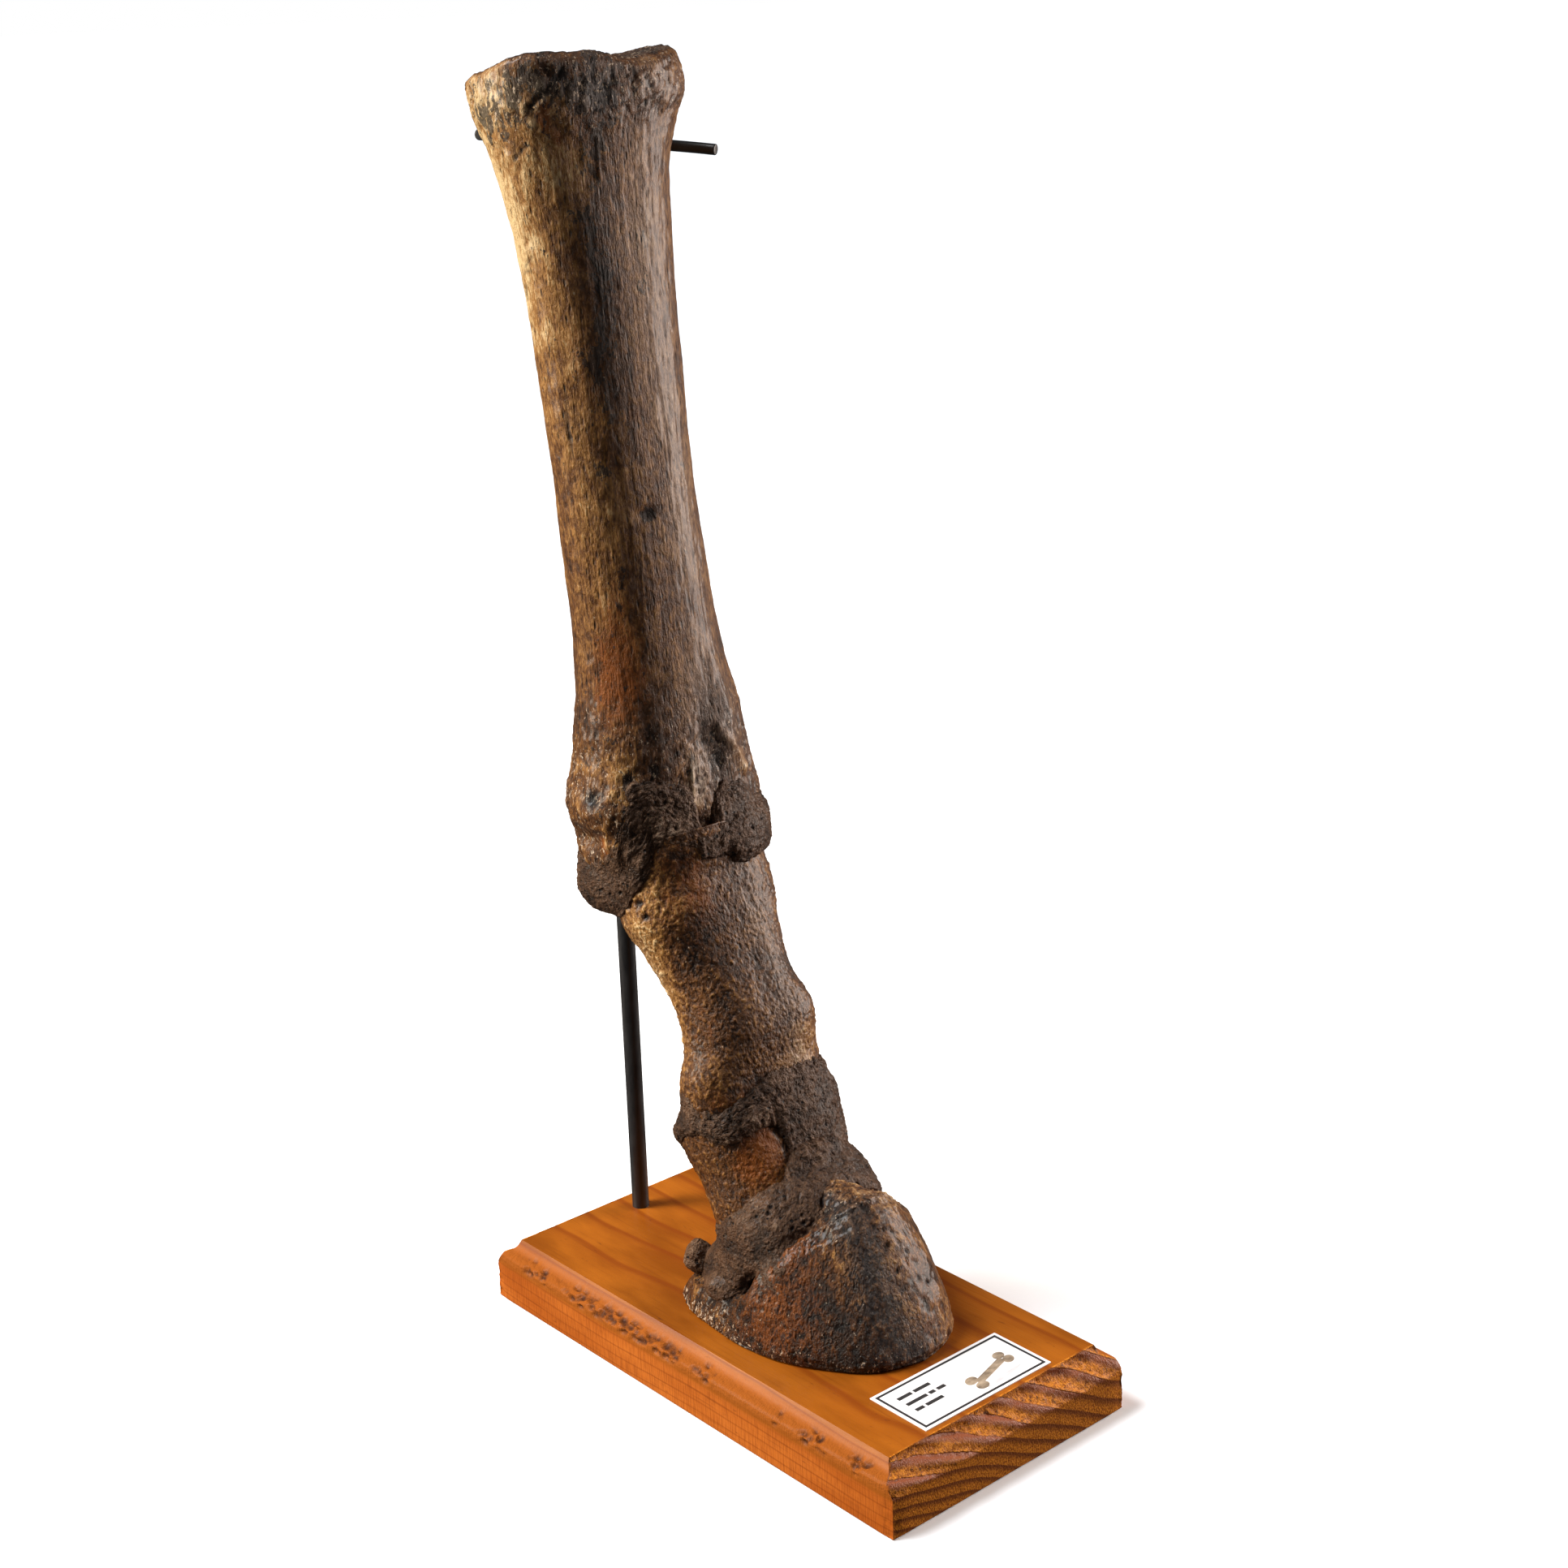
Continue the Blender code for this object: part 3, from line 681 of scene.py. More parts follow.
cannonMarks = {
    "radius": 25.0,
    "scratches": [  # two (down, angle) ends, width, depth
        (((3.5, 317), (12, 298)), 0.7, 0.55),
        (((12, 298), (17, 294)), 0.4, 0.25),
        (((24, 291), (28, 282)), 0.5, 0.3),
        (((23, 284), (28, 282)), 0.45, 0.25),
        (((57, 276), (60, 267)), 0.4, 0.25),
        (((61, 272), (62, 264)), 0.35, 0.2),
        (((96, 286), (118, 285)), 0.4, 0.35),
        (((78, 257), (80, 263)), 0.9, 0.6),
        (((66, 262), (70, 259)), 0.7, 0.4),
        (((104, 283), (112, 284)), 0.5, 0.35),
    ],
    "dents": [  # down, angle, spread, spread round, depth
        (138.5, 341, 1.8, 10, 1.1),
        (226.7, 279, 2.8, 6, 1.8),
        (238.6, 281, 1.4, 5, 1.0),
        (221, 303, 1.3, 4, 0.8),
        (222, 19, 4.0, 5, 0.8),
        (213, 8, 5.0, 4, 0.5),
    ],
    "ridges": [  # two (down, angle) ends, width, height
        (((212, 26), (228, 44)), 1.8, 0.9),
        (((222, 350), (233, 346)), 1.0, 0.8),
        (((24, 334), (36, 333)), 0.6, 0.45),
        (((26, 338), (34, 338)), 0.5, 0.35),
        (((236, 288), (243, 286)), 1.2, 0.8),
    ],
    "tones": [  # down, angle, spread, spread round, change of tone
        # the lifts at 252 to 285 degrees light the left edge, partly its tan colour and partly painted
        # light of the left lamp; the lifts at 354 and 20 degrees go with the grey as painted sheen of
        # the right lamp
        (56, 328, 38, 18, -0.16),
        (110, 324, 40, 18, -0.03),
        (44, 252, 30, 26, 0.50),
        (16, 298, 9, 34, 0.10),
        (32, 304, 7, 30, 0.20),
        (10, 306, 7, 16, 0.10),
        (10, 285, 10, 26, 0.22),
        (5, 272, 6, 14, 0.20),
        (90, 262, 50, 22, 0.14),
        (165, 268, 40, 20, -0.08),
        (30, 305, 14, 18, 0.15),
        (60, 300, 26, 14, 0.08),
        (110, 292, 40, 14, 0.08),
        (165, 285, 30, 22, 0.05),
        (220, 297, 6, 12, 0.22),
        (227, 354, 9, 9, 0.30),
        (212, 330, 16, 30, -0.06),
        (243, 284, 5, 9, 0.25),
        (222, 40, 10, 10, 0.10),
        (90, 20, 90, 26, 0.10),
        (12, 262, 8, 20, 0.15),
    ],
    "stains": [
        (9, 320, 9, 60, 0.36),
        (12, 336, 12, 15, 0.50),
        (17, 275, 9, 16, 0.44),
        (6, 300, 5, 16, 0.30),
        (32, 328, 8, 11, 0.50),
        (50, 320, 8, 12, 0.62),
        (66, 326, 9, 11, 0.62),
        (80, 320, 8, 11, 0.52),
        (92, 312, 9, 11, 0.60),
        (104, 318, 8, 10, 0.54),
        (122, 310, 10, 11, 0.50),
        (138.5, 341, 2.6, 9, 1.10),
        (157, 311, 6, 8, 0.50),
        (150, 300, 8, 8, 0.25),
        (180, 298, 12, 16, 0.22),
        (205, 290, 10, 20, 0.22),
        (221, 14, 7, 8, 0.36),
        (222, 303, 2.5, 5, 0.7),
        (60, 8, 14, 10, 0.25),
        (200, 345, 14, 14, 0.15),
    ],
    "rusts": [
        (17.4, 303, 4.5, 5, 0.8),
        (12, 306, 3, 5, 0.6),
        (23, 309, 3, 4, 0.7),
        (90, 300, 26, 12, 0.35),
        (192, 300, 18, 26, 0.62),
        (243, 283, 4, 7, 0.8),
        (165, 304, 26, 24, 0.36),
        (110, 320, 40, 16, 0.22),
        (40, 20, 12, 10, 0.25),
    ],
    "greyAndSheenSpots": [
        (10, 290, 16, 46, 0.40),
        # the grey at 20 to 25 degrees, down the right side, and on the smooth facet at 354 degrees is
        # painted sheen of the right lamp
        (60, 20, 70, 32, 0.70),
        (150, 25, 60, 30, 0.65),
        (215, 20, 26, 30, 0.8),
        (227, 354, 8, 9, 0.8),
    ],
}


cannonRelief = {  # heights in mm, and the places down the bone where its rough ends fade
    "fibres": 0.20,
    "waves": 0.45,
    "wrinkles": 0.16,
    "roughWrinkles": 0.50,
    "creases": 0.45,
    "pits": 0.16,
    "roughPits": 0.34,
    "upperEnd": (8, 36),
    "lowerEnd": (184, 226),
    "rimEnd": (0.5, 4.0),
}

cannonLook = {
    "tilt": (-2.1, -3.3, 0),
    "fibre": (0.8, 0.8, 13.0),
    "poreSize": (2.0, 2.0, 7.5),
    "grainSize": (0.9, 0.9, 2.2),
    "broad": 0.55,
    "mottle": 0.95,
    "streak": 0.42,
    "grain": 0.62,
    "pores": 0.75,
    "rust": 0.8,
    "roughness": 0.40,
    "bumpFibre": 0.55,
    "bumpGrain": 0.40,
    "bumpMottle": 0.8,
    "bumpSpeck": 0.45,
    "bumpPore": 0.30,
    "coat": 0.20,
}


def sumSpots(down, angle, entries):
    # sum of the bells, each times the last number of its entry
    return sum(entry[-1] * spot(down, angle, entry[:4]) for entry in entries)


def stroke(down, angle, line, width):
    # bell across a line on the cannon bone: exp(-(distance / width)^2)
    return np.exp(-((lineDistance(down, angle, line, cannonMarks["radius"]) / width) ** 2))


def makeCannonBone():
    # fibres and wrinkles drawn out along the shaft, coarser with pits and creases at both
    # rough ends, and the listed scratches, ridges and dents
    bone, marks, high = cannonBone, cannonMarks, cannonRelief
    grid, downs, angles = boneGrid(bone, bone["rows"], bone["columns"], bone["capRows"], bone["dips"])
    skin = closedSkin(grid)
    down, angle = withPoles(downs), withPoles(angles)
    own = alongBone(bone, skin[0])
    rough = np.clip(1 - ease(*high["upperEnd"], down) + ease(*high["lowerEnd"], down), 0, 1)
    fibreRelief = layeredNoise(own * (1, 1, 0.07), 1.7, 4, 11, 0.7)
    waves = layeredNoise(own * (1, 1, 0.45), 13, 3, 23)
    wrinkles = layeredNoise(own * (1, 1, 0.75), 3.6, 4, 31, 0.66)
    crags = np.abs(layeredNoise(own * (1, 1, 0.7), 6.0, 4, 47, 0.6))
    crease = ease(0.0, 0.06, 0.06 - crags)
    pits = pitField(own * (1, 1, 0.6), 3.4, 0.42, 0.85, 5)
    relief = (
        high["fibres"] * fibreRelief * (1 - 0.5 * rough)
        + high["waves"] * waves
        + (high["wrinkles"] + high["roughWrinkles"] * rough) * wrinkles
        - high["creases"] * rough * crease
        - (high["pits"] + high["roughPits"] * rough) * pits
    )
    # darker in the pits, creases, scratches and dents
    dirt = 0.55 * pits * (0.4 + 0.6 * rough) + 0.3 * rough * crease
    for line, width, depth in marks["scratches"]:
        cut = stroke(down, angle, line, width)
        relief -= depth * cut
        dirt += 0.7 * cut
    for line, width, height in marks["ridges"]:
        relief += height * stroke(down, angle, line, width)
    for middle, centre, spread, spreadRound, depth in marks["dents"]:
        dent = spot(down, angle, (middle, centre, spread, spreadRound))
        relief -= depth * dent
        dirt += 0.25 * dent
    relief = relief * (0.50 + 0.50 * ease(*high["rimEnd"], down))
    # light at the left edge, partly painted light of the left lamp; dark down the front; dull grey at
    # the right, painted sheen of the right lamp
    tone = (
        0.54
        + sumSpots(down, angle, marks["tones"])
        - 0.05 * rough
        - 0.04 * ease(150, 240, down)
        + 0.30 * relief * rough
    )
    onTop = down <= 0.01
    fields = {
        "tone": np.where(onTop, tone - 0.22, tone),
        "cool": sumSpots(down, angle, marks["greyAndSheenSpots"]) - 0.15,
        "rust": sumSpots(down, angle, marks["rusts"]),
        "stain": sumSpots(down, angle, marks["stains"]) + 0.10 * rough,
        "dirt": np.clip(dirt, 0, 1),
        # light specks at the rough ends, partly chips and partly painted glints
        "fleck": 0.5 * rough,
    }
    finish = fossilFinish("varnished_shaft_bone", cannonLook)
    makePiece("cannon", carved(skin, relief), finish, ["cannon_bone"], fields)


longPastern = {
    "top": (0.0, 45.0, 159.5),
    "bottom": (0.0, 12.0, 84.0),
    "sections": [  # the rows above 0 run up under the filler of the fetlock
        (-13, 25.0, 27.0, 25.5, 12.0, 2.4),
        (-6, 27.0, 27.5, 22.0, 16.0, 2.4),
        (0, 27.2, 26.6, 19.0, 18.5, 2.4),
        (3, 27.5, 26.5, 18.0, 20.0, 2.5),
        (10, 28.0, 26.5, 17.5, 19.0, 2.5),
        (22, 25.0, 24.0, 17.0, 15.0, 2.35),
        (40, 22.3, 21.8, 17.0, 11.8, 2.2),
        (54, 23.5, 23.2, 17.5, 13.0, 2.2),
        (66, 27.5, 24.0, 16.0, 15.5, 2.3),
        (76, 28.0, 24.5, 14.5, 16.0, 2.4),
        (82, 24.5, 21.5, 10.0, 10.0, 2.4),
    ],
    "bend": [(0, 0, 0), (25, 0, 1.0), (50, 0, 3.5), (68, 0, 1.0), (82, 0, 0)],
    "lumps": [
        (52, 55, 2.2, 9, 24),
        (66, 290, 1.0, 8, 18),
        (38, 0, -0.8, 14, 20),
        (8, 330, 0.8, 6, 16),
        (-13, 34, -6.0, 9, 34),
    ],
    "rows": 230,
    "columns": 320,
    "capRows": (6, 6),
    "tilt": (-23.6, 0, 0),
    "dents": [(4.5, 280.5, 1.1, 2.6, 1.2), (9.3, 282.5, 1.0, 2.4, 1.2)],
    "tones": [
        # the lift at 258 degrees lights the left side, partly its own colour and partly painted light of
        # the left lamp
        (30, 258, 34, 20, 0.34),
        (30, 316, 44, 24, -0.02),
        (10, 282, 14, 20, 0.20),
        (66, 30, 14, 26, 0.10),
        (40, 25, 44, 22, 0.12),
        (73, 300, 6, 50, -0.10),
        (60, 50, 14, 16, 0.12),
        # the lift at the top front, under the edge of the fetlock paste, is painted light that offsets
        # the paste's shadow
        (3, 315, 12, 34, 0.12),
    ],
    "stains": [(76, 285, 5, 30, 0.25)],
    # the grey at 24 degrees, down the right side, is painted sheen of the right lamp
    "greyAndSheenSpots": [(35, 24, 55, 26, 0.75), (20, 262, 30, 10, 0.3)],
    "rusts": [(6, 320, 16, 28, 0.60), (52, 292, 18, 24, 0.30), (74, 300, 5, 22, 0.35)],
}

shortPastern = {
    "top": (0.0, 14.5, 80.0),
    "bottom": (0.0, -5.0, 46.0),
    "sections": [  # the rows above 0 run up under the filler
        (-9, 27.5, 26.0, 14.5, 14.0, 2.4),
        (-3, 28.3, 27.0, 16.5, 17.0, 2.5),
        (3, 28.0, 27.0, 17.0, 18.0, 2.5),
        (12, 27.0, 26.3, 17.0, 16.0, 2.4),
        (24, 27.5, 26.5, 17.0, 15.0, 2.4),
        (33, 27.0, 27.0, 15.0, 14.0, 2.5),
        (39, 24.0, 24.0, 9.0, 9.0, 2.5),
    ],
    "lumps": [(8, 322, 2.2, 13, 28), (24, 315, 0.8, 6, 20)],
    "rows": 100,
    "columns": 270,
    "capRows": (5, 5),
    "tilt": (-29.8, 0, 0),
    "dents": [],
    "tones": [(14, 285, 14, 26, -0.04), (12, 262, 16, 12, 0.02), (12, 318, 11, 20, 0.10)],
    "stains": [(26, 300, 6, 30, 0.15), (14, 285, 8, 10, 0.30)],
    # the grey at 20 degrees, down the right side, is painted sheen of the right lamp
    "greyAndSheenSpots": [(14, 20, 30, 26, 0.5)],
    "rusts": [(12, 312, 11, 22, 0.85), (5, 324, 5, 8, 0.6)],
}


pasternRelief = {"waves": 0.45, "leather": 0.18, "pebbles": 0.70, "pits": 0.26}

pasternLook = {
    "fibre": (1.0, 1.0, 3.0),
    "poreSize": (1.6, 1.6, 2.2),
    "grainSize": (1.15, 1.15, 1.5),
    "broad": 0.50,
    "mottle": 0.60,
    "streak": 0.30,
    "grain": 0.80,
    "pores": 0.35,
    "rust": 0.7,
    "roughness": 0.40,
    "bumpFibre": 0.5,
    "bumpGrain": 0.80,
    "bumpMottle": 0.5,
    "bumpSpeck": 0.5,
    "bumpPore": 0.15,
    "coat": 0.18,
}


def makePastern(name, bone, node, seed):
    # leathery grain: wrinkles squeezed along the bone, with small dark pits
    grid, downs, angles = boneGrid(bone, bone["rows"], bone["columns"], bone["capRows"])
    skin = closedSkin(grid)
    down, angle = withPoles(downs), withPoles(angles)
    own = alongBone(bone, skin[0])
    waves = layeredNoise(own, 14, 3, seed)
    leather = layeredNoise(own * (1, 1, 0.75), 1.9, 3, seed + 3, 0.6)
    pebbles = np.abs(layeredNoise(own * (1, 1, 0.85), 1.9, 3, seed + 9, 0.6)) - 0.2
    pits = pitField(own, 2.6, 0.40, 0.65, seed + 5)
    high = pasternRelief
    relief = high["waves"] * waves + high["leather"] * leather + high["pebbles"] * pebbles
    relief -= high["pits"] * pits
    dirt = 0.35 * pits
    for middle, centre, spread, spreadRound, depth in bone["dents"]:
        dent = spot(down, angle, (middle, centre, spread, spreadRound))
        relief -= depth * dent
        dirt += 0.9 * dent
    fields = {
        "tone": 0.43 + sumSpots(down, angle, bone["tones"]) + 0.45 * relief,
        # the grey on the right side is painted sheen of the right lamp, and fleck adds light specks,
        # partly chips and partly painted glints
        "cool": sumSpots(down, angle, bone["greyAndSheenSpots"]) - 0.15,
        "rust": sumSpots(down, angle, bone["rusts"]),
        "stain": sumSpots(down, angle, bone["stains"]) - 0.05,
        "dirt": np.clip(dirt, 0, 1),
        "fleck": np.full(len(relief), 0.1),
    }
    finish = fossilFinish(name + "_bone_grain", {**pasternLook, "tilt": bone["tilt"]})
    makePiece(name, carved(skin, relief), finish, [node], fields)


coffinBone = {
    "outline": [  # angle from the toe, radius of the sole, height of the wall, its inset
        (0, 49.0, 48.0, 23.0),
        (20, 46.8, 46.0, 21.0),
        (42, 41.3, 39.5, 17.5),
        (67, 38.0, 33.0, 9.5),
        (82, 36.8, 27.0, 7.0),
        (97, 37.0, 14.0, 4.5),
        (115, 39.5, 11.0, 4.0),
        (132, 44.5, 10.0, 4.0),
        (145, 47.0, 9.0, 5.0),
        (155, 41.0, 9.0, 5.0),
        (168, 27.0, 12.0, 3.0),
        (180, 22.0, 14.0, 2.0),
    ],
    "centreY": -14.0,
    "soleHeight": 22.8,
    "wallPower": 1.5,
    "seat": (9.0, 19.0),  # the joint's seat: how far back, how high
    "footRound": (0.8, 0.03),  # rounding of the wall's foot and top: how far in, over what share
    "topRound": (2.2, 0.07),
    "lifts": [(305, 2.0, 20), (350, 0.7, 12), (60, 1.0, 18), (250, 0.8, 12)],
    "columns": 380,
    "rows": (24, 110, 44),
}


def coffinGrid(bone):
    # rings on rays from the centre: out over the sole, up the wall at
    # sole - inset * part^power, and in over the joint seat
    angles = np.arange(bone["columns"]) * 360 / bone["columns"]
    sole, wall, inset = smoothTable(bone["outline"], np.abs(turned(angles, 0))).T
    sine, cosine = np.sin(np.radians(angles)), np.cos(np.radians(angles))
    edge = sum(lift * facing(angles, at, wide) for at, lift, wide in bone["lifts"])
    edge = edge + 0.35 * slopeNoise(np.stack((sine * 9, cosine * 9, 0 * sine), -1), 3) + 0.25
    soleRows, wallRows, topRows = bone["rows"]
    seatBack, seatHeight = bone["seat"]

    def rings(radius, back, height):
        x = radius * sine
        y = bone["centreY"] - radius * cosine + back
        z = bone["soleHeight"] + height
        return np.stack((x, y, z + 0 * x), axis=-1)

    out = np.linspace(0.04, 0.985, soleRows)[:, None]
    under = rings(sole * out, 0, 0.3 * edge * ease(0.5, 1, out))
    part = np.linspace(0, 1, wallRows)[:, None]
    footIn, footShare = bone["footRound"]
    topIn, topShare = bone["topRound"]
    rounding = footIn * np.exp(-((part / footShare) ** 2))
    rounding = rounding + topIn * np.exp(-(((1 - part) / topShare) ** 2))
    wallRadius = sole - rounding - inset * part ** bone["wallPower"]
    side = rings(wallRadius, 0, edge * (1 - part) + wall * part)
    inn = np.linspace(0, 0.97, topRows + 1)[1:, None]
    fall = ease(0.72, 1.0, inn)
    overHeight = wall * (1 - fall) + seatHeight * fall
    over = rings((sole - inset - topIn) * (1 - inn), seatBack * inn, overHeight)
    grid = np.concatenate((under, side, over))
    up = np.concatenate((0 * out - 0.5 * (1 - out), part, 1 + inn))
    return grid, np.broadcast_to(up, grid.shape[:2]), np.broadcast_to(angles, grid.shape[:2])


coffinMarks = {  # angle, spread round
    "rightSide": (28, 40),
    "leftEdge": (240, 34),
    "darkSide": (290, 34),
    "left": (292, 32),
    "bandFoot": 351,
    "bandLean": 13,  # degrees to the left from sole to top
    "bandSpread": 13,
}


hoofRelief = {
    "waves": 0.50,
    "wrinkles": 0.42,
    "footWrinkles": 0.35,
    "crownWrinkles": 0.4,
    "slits": 0.26,
    "rightSlits": 0.50,
}

hoofLook = {
    "tilt": (0, 0, 0),
    "fibre": (1.5, 1.5, 7.0),
    "poreSize": (1.6, 1.6, 4.6),
    "grainSize": (1.0, 1.0, 1.5),
    "broad": 0.60,
    "mottle": 1.15,
    "streak": 0.75,
    "grain": 0.75,
    "pores": 0.75,
    "rust": 0.75,
    "roughness": 0.33,
    "bumpFibre": 0.9,
    "bumpGrain": 1.3,
    "bumpMottle": 1.0,
    "bumpSpeck": 1.1,
    "bumpPore": 0.5,
    "coat": 0.20,
}


def makeCoffinBone():
    # slits and wrinkles on the wall; a grey band runs up it left of the toe. The right side
    # is lighter and greyer, partly its reddish colour and partly painted light and sheen of the right
    # lamp; the sole's rim is painted darker as the shadow where it meets the board; light specks at
    # the left edge and the rims are partly chips and partly painted glints; the left edge and the
    # crown have their own tones
    grid, ups, angles = coffinGrid(coffinBone)
    skin = closedSkin(grid)
    points = skin[0]
    up, angle = withPoles(ups), withPoles(angles)
    onWall = ease(-0.02, 0.03, up)
    # the wall's slits run down it, so their noise is drawn out in height
    slits = pitField(points * (1, 1, 0.30), 2.5, 0.45, 0.66, 61)
    waves = layeredNoise(points, 12, 3, 63)
    wrinkles = layeredNoise(points * (1, 1, 0.45), 2.9, 4, 65, 0.64)
    marks, high = coffinMarks, hoofRelief
    band = facing(angle, marks["bandFoot"] - marks["bandLean"] * up, marks["bandSpread"])
    rightSide, left = facing(angle, *marks["rightSide"]), facing(angle, *marks["left"])
    leftEdge = facing(angle, *marks["leftEdge"]) * (1 - ease(0.3, 0.9, up))
    nearEdge = np.exp(-((up / 0.12) ** 2))
    crown = ease(0.80, 1.0, up)
    relief = onWall * (
        high["waves"] * waves
        + (high["wrinkles"] + high["footWrinkles"] * nearEdge + high["crownWrinkles"] * crown) * wrinkles
        - (high["slits"] + high["rightSlits"] * rightSide) * slits
    )
    # darker at the sole's rim: painted shadow where the rim meets the board; lighter on the right side:
    # partly its reddish colour, partly painted light of the right lamp
    tone = (
        0.28
        + 0.11 * band
        + 0.25 * rightSide
        - 0.20 * facing(angle, *marks["darkSide"])
        - 0.10 * nearEdge
        + 0.10 * leftEdge
        + 0.06 * crown
        + 0.50 * relief
    )
    fields = {
        "tone": tone,
        # on the right side the grey is painted sheen of the right lamp; at the sole's rim the stain is
        # painted shadow; the specks at the left edge and the rims are partly chips and partly painted
        # glints
        "cool": 0.75 * band + 0.4 * crown + 0.15 * rightSide - 0.32,
        "rust": 0.58 * left + 0.35 * rightSide,
        "stain": 0.44 * band + 0.36 * left * (1 - 0.6 * up) + 0.14 * nearEdge - 0.1 * rightSide,
        "dirt": np.clip(0.8 * slits * onWall, 0, 1),
        "fleck": np.clip(0.10 + 0.60 * leftEdge + 0.40 * nearEdge + 0.15 * crown, 0, 1),
    }
    finish = fossilFinish("hoof_bone_grain", hoofLook)
    makePiece("hoof_bone", carved(skin, relief), finish, ["coffin_bone"], fields)


fetlockFiller = {
    "top": (0.0, 56.0, 188.0),
    "bottom": (0.0, 49.0, 142.0),
    "sections": [
        (0, 24.0, 24.0, 19.0, 18.0, 2.4),
        (6, 27.5, 27.5, 22.5, 21.0, 2.4),
        (16, 30.0, 32.8, 26.0, 24.0, 2.4),
        (26, 29.5, 32.5, 25.0, 24.0, 2.4),
        (36, 27.5, 27.5, 16.0, 22.0, 2.4),
        (46, 20.0, 20.0, 9.0, 13.0, 2.4),
    ],
    "lumps": [
        (31, 236, 5.6, 8, 28),
        (19, 254, -3.0, 5, 18),
        (31, 128, 4.0, 8, 28),
        (12, 60, 1.2, 6, 18),
        (22, 20, 1.0, 6, 16),
        (17, 340, -0.8, 5, 14),
        (26, 305, 0.9, 5, 14),
        (14, 180, 1.2, 7, 20),
        (20, 30, 1.6, 7, 22),
    ],
    "edges": [  # angle, upper and lower edge
        (0, 7.0, 22.5), (3, 4.0, 22.8), (6, 2.0, 24.0), (14, -0.4, 27.2), (29, 0.2, 27.0),
        (45, 3.5, 26.3), (51, 8.0, 27.0), (60, 8.0, 28.0), (90, 8.0, 35.0), (128, 6.0, 42.0),
        (180, 4.0, 39.0), (232, 14.0, 42.0), (246, 19.0, 41.5), (254, 20.0, 41.0),
        (263, 19.0, 40.5), (272, 17.5, 39.6), (280, 16.0, 37.0), (285, 13.0, 35.3),
        (289, 9.6, 32.5), (293, 1.9, 30.0), (296, -2.7, 28.8), (301, -6.7, 26.8),
        (304, -7.2, 25.4), (308, -7.2, 20.2), (311, -7.2, 15.7), (322, -6.0, 14.7),
        (332, -4.2, 16.5), (338, -3.0, 17.6), (341, -2.0, 21.7), (344, 0.0, 22.0),
        (346, 9.0, 22.2), (350, 14.5, 22.4), (355, 12.5, 22.4), (360, 7.0, 22.5),
    ],
    "over": (cannonBone, longPastern),
    "thick": 0.6,
    "bridge": 8.0,
    "shoulder": 5.0,
    "sink": 4.0,
    "evenRows": 190,
    # the lift at the front, at 326 degrees, is painted light where the lamps reach little
    "tones": [(8, 326, 12, 24, 0.32)],
    "grid": (130, 380),
}

pasternFiller = {
    "top": (0.0, 19.0, 98.0),
    "bottom": (0.0, 8.0, 70.0),
    "sections": [
        (0, 20.0, 20.0, 12.0, 12.0, 2.3),
        (6, 26.0, 24.0, 16.5, 16.0, 2.3),
        (16, 29.5, 27.8, 19.0, 19.0, 2.3),
        (24, 28.6, 27.8, 18.5, 17.5, 2.3),
        (30, 23.0, 22.0, 14.0, 12.0, 2.3),
    ],
    "lumps": [
        (13, 240, 3.4, 6, 22),
        (12, 60, 0.9, 5, 20),
        (18, 326, -0.8, 6, 20),
        (15, 120, 2.0, 6, 22),
    ],
    "edges": [
        (0, 1.2, 37.0), (16, 1.6, 37.0), (40, 2.0, 37.0), (62, 3.0, 35.0), (80, 4.0, 29.0),
        (100, 4.0, 23.0), (180, 5.0, 24.0), (240, 3.0, 22.0), (259, 0.0, 15.4),
        (266, 0.6, 15.2), (275, 2.2, 15.6), (279, 5.4, 16.6), (287, 7.4, 19.0), (292, 8.3, 19.2),
        (298, 8.0, 19.6), (309, 5.8, 18.2), (320, 4.2, 17.8), (328, 3.2, 18.4), (333, 2.0, 19.5),
        (338, 1.6, 27.0), (344, 1.1, 37.0), (352, 1.0, 37.0), (360, 1.2, 37.0),
    ],
    "over": (longPastern, shortPastern),
    "thick": 0.5,
    "bridge": 7.0,
    "shoulder": 5.0,
    "sink": 0.0,
    "evenRows": 150,
    "tones": [(12, 320, 12, 30, 0.08), (16, 22, 12, 30, 0.14)],
    "grid": (110, 350),
}

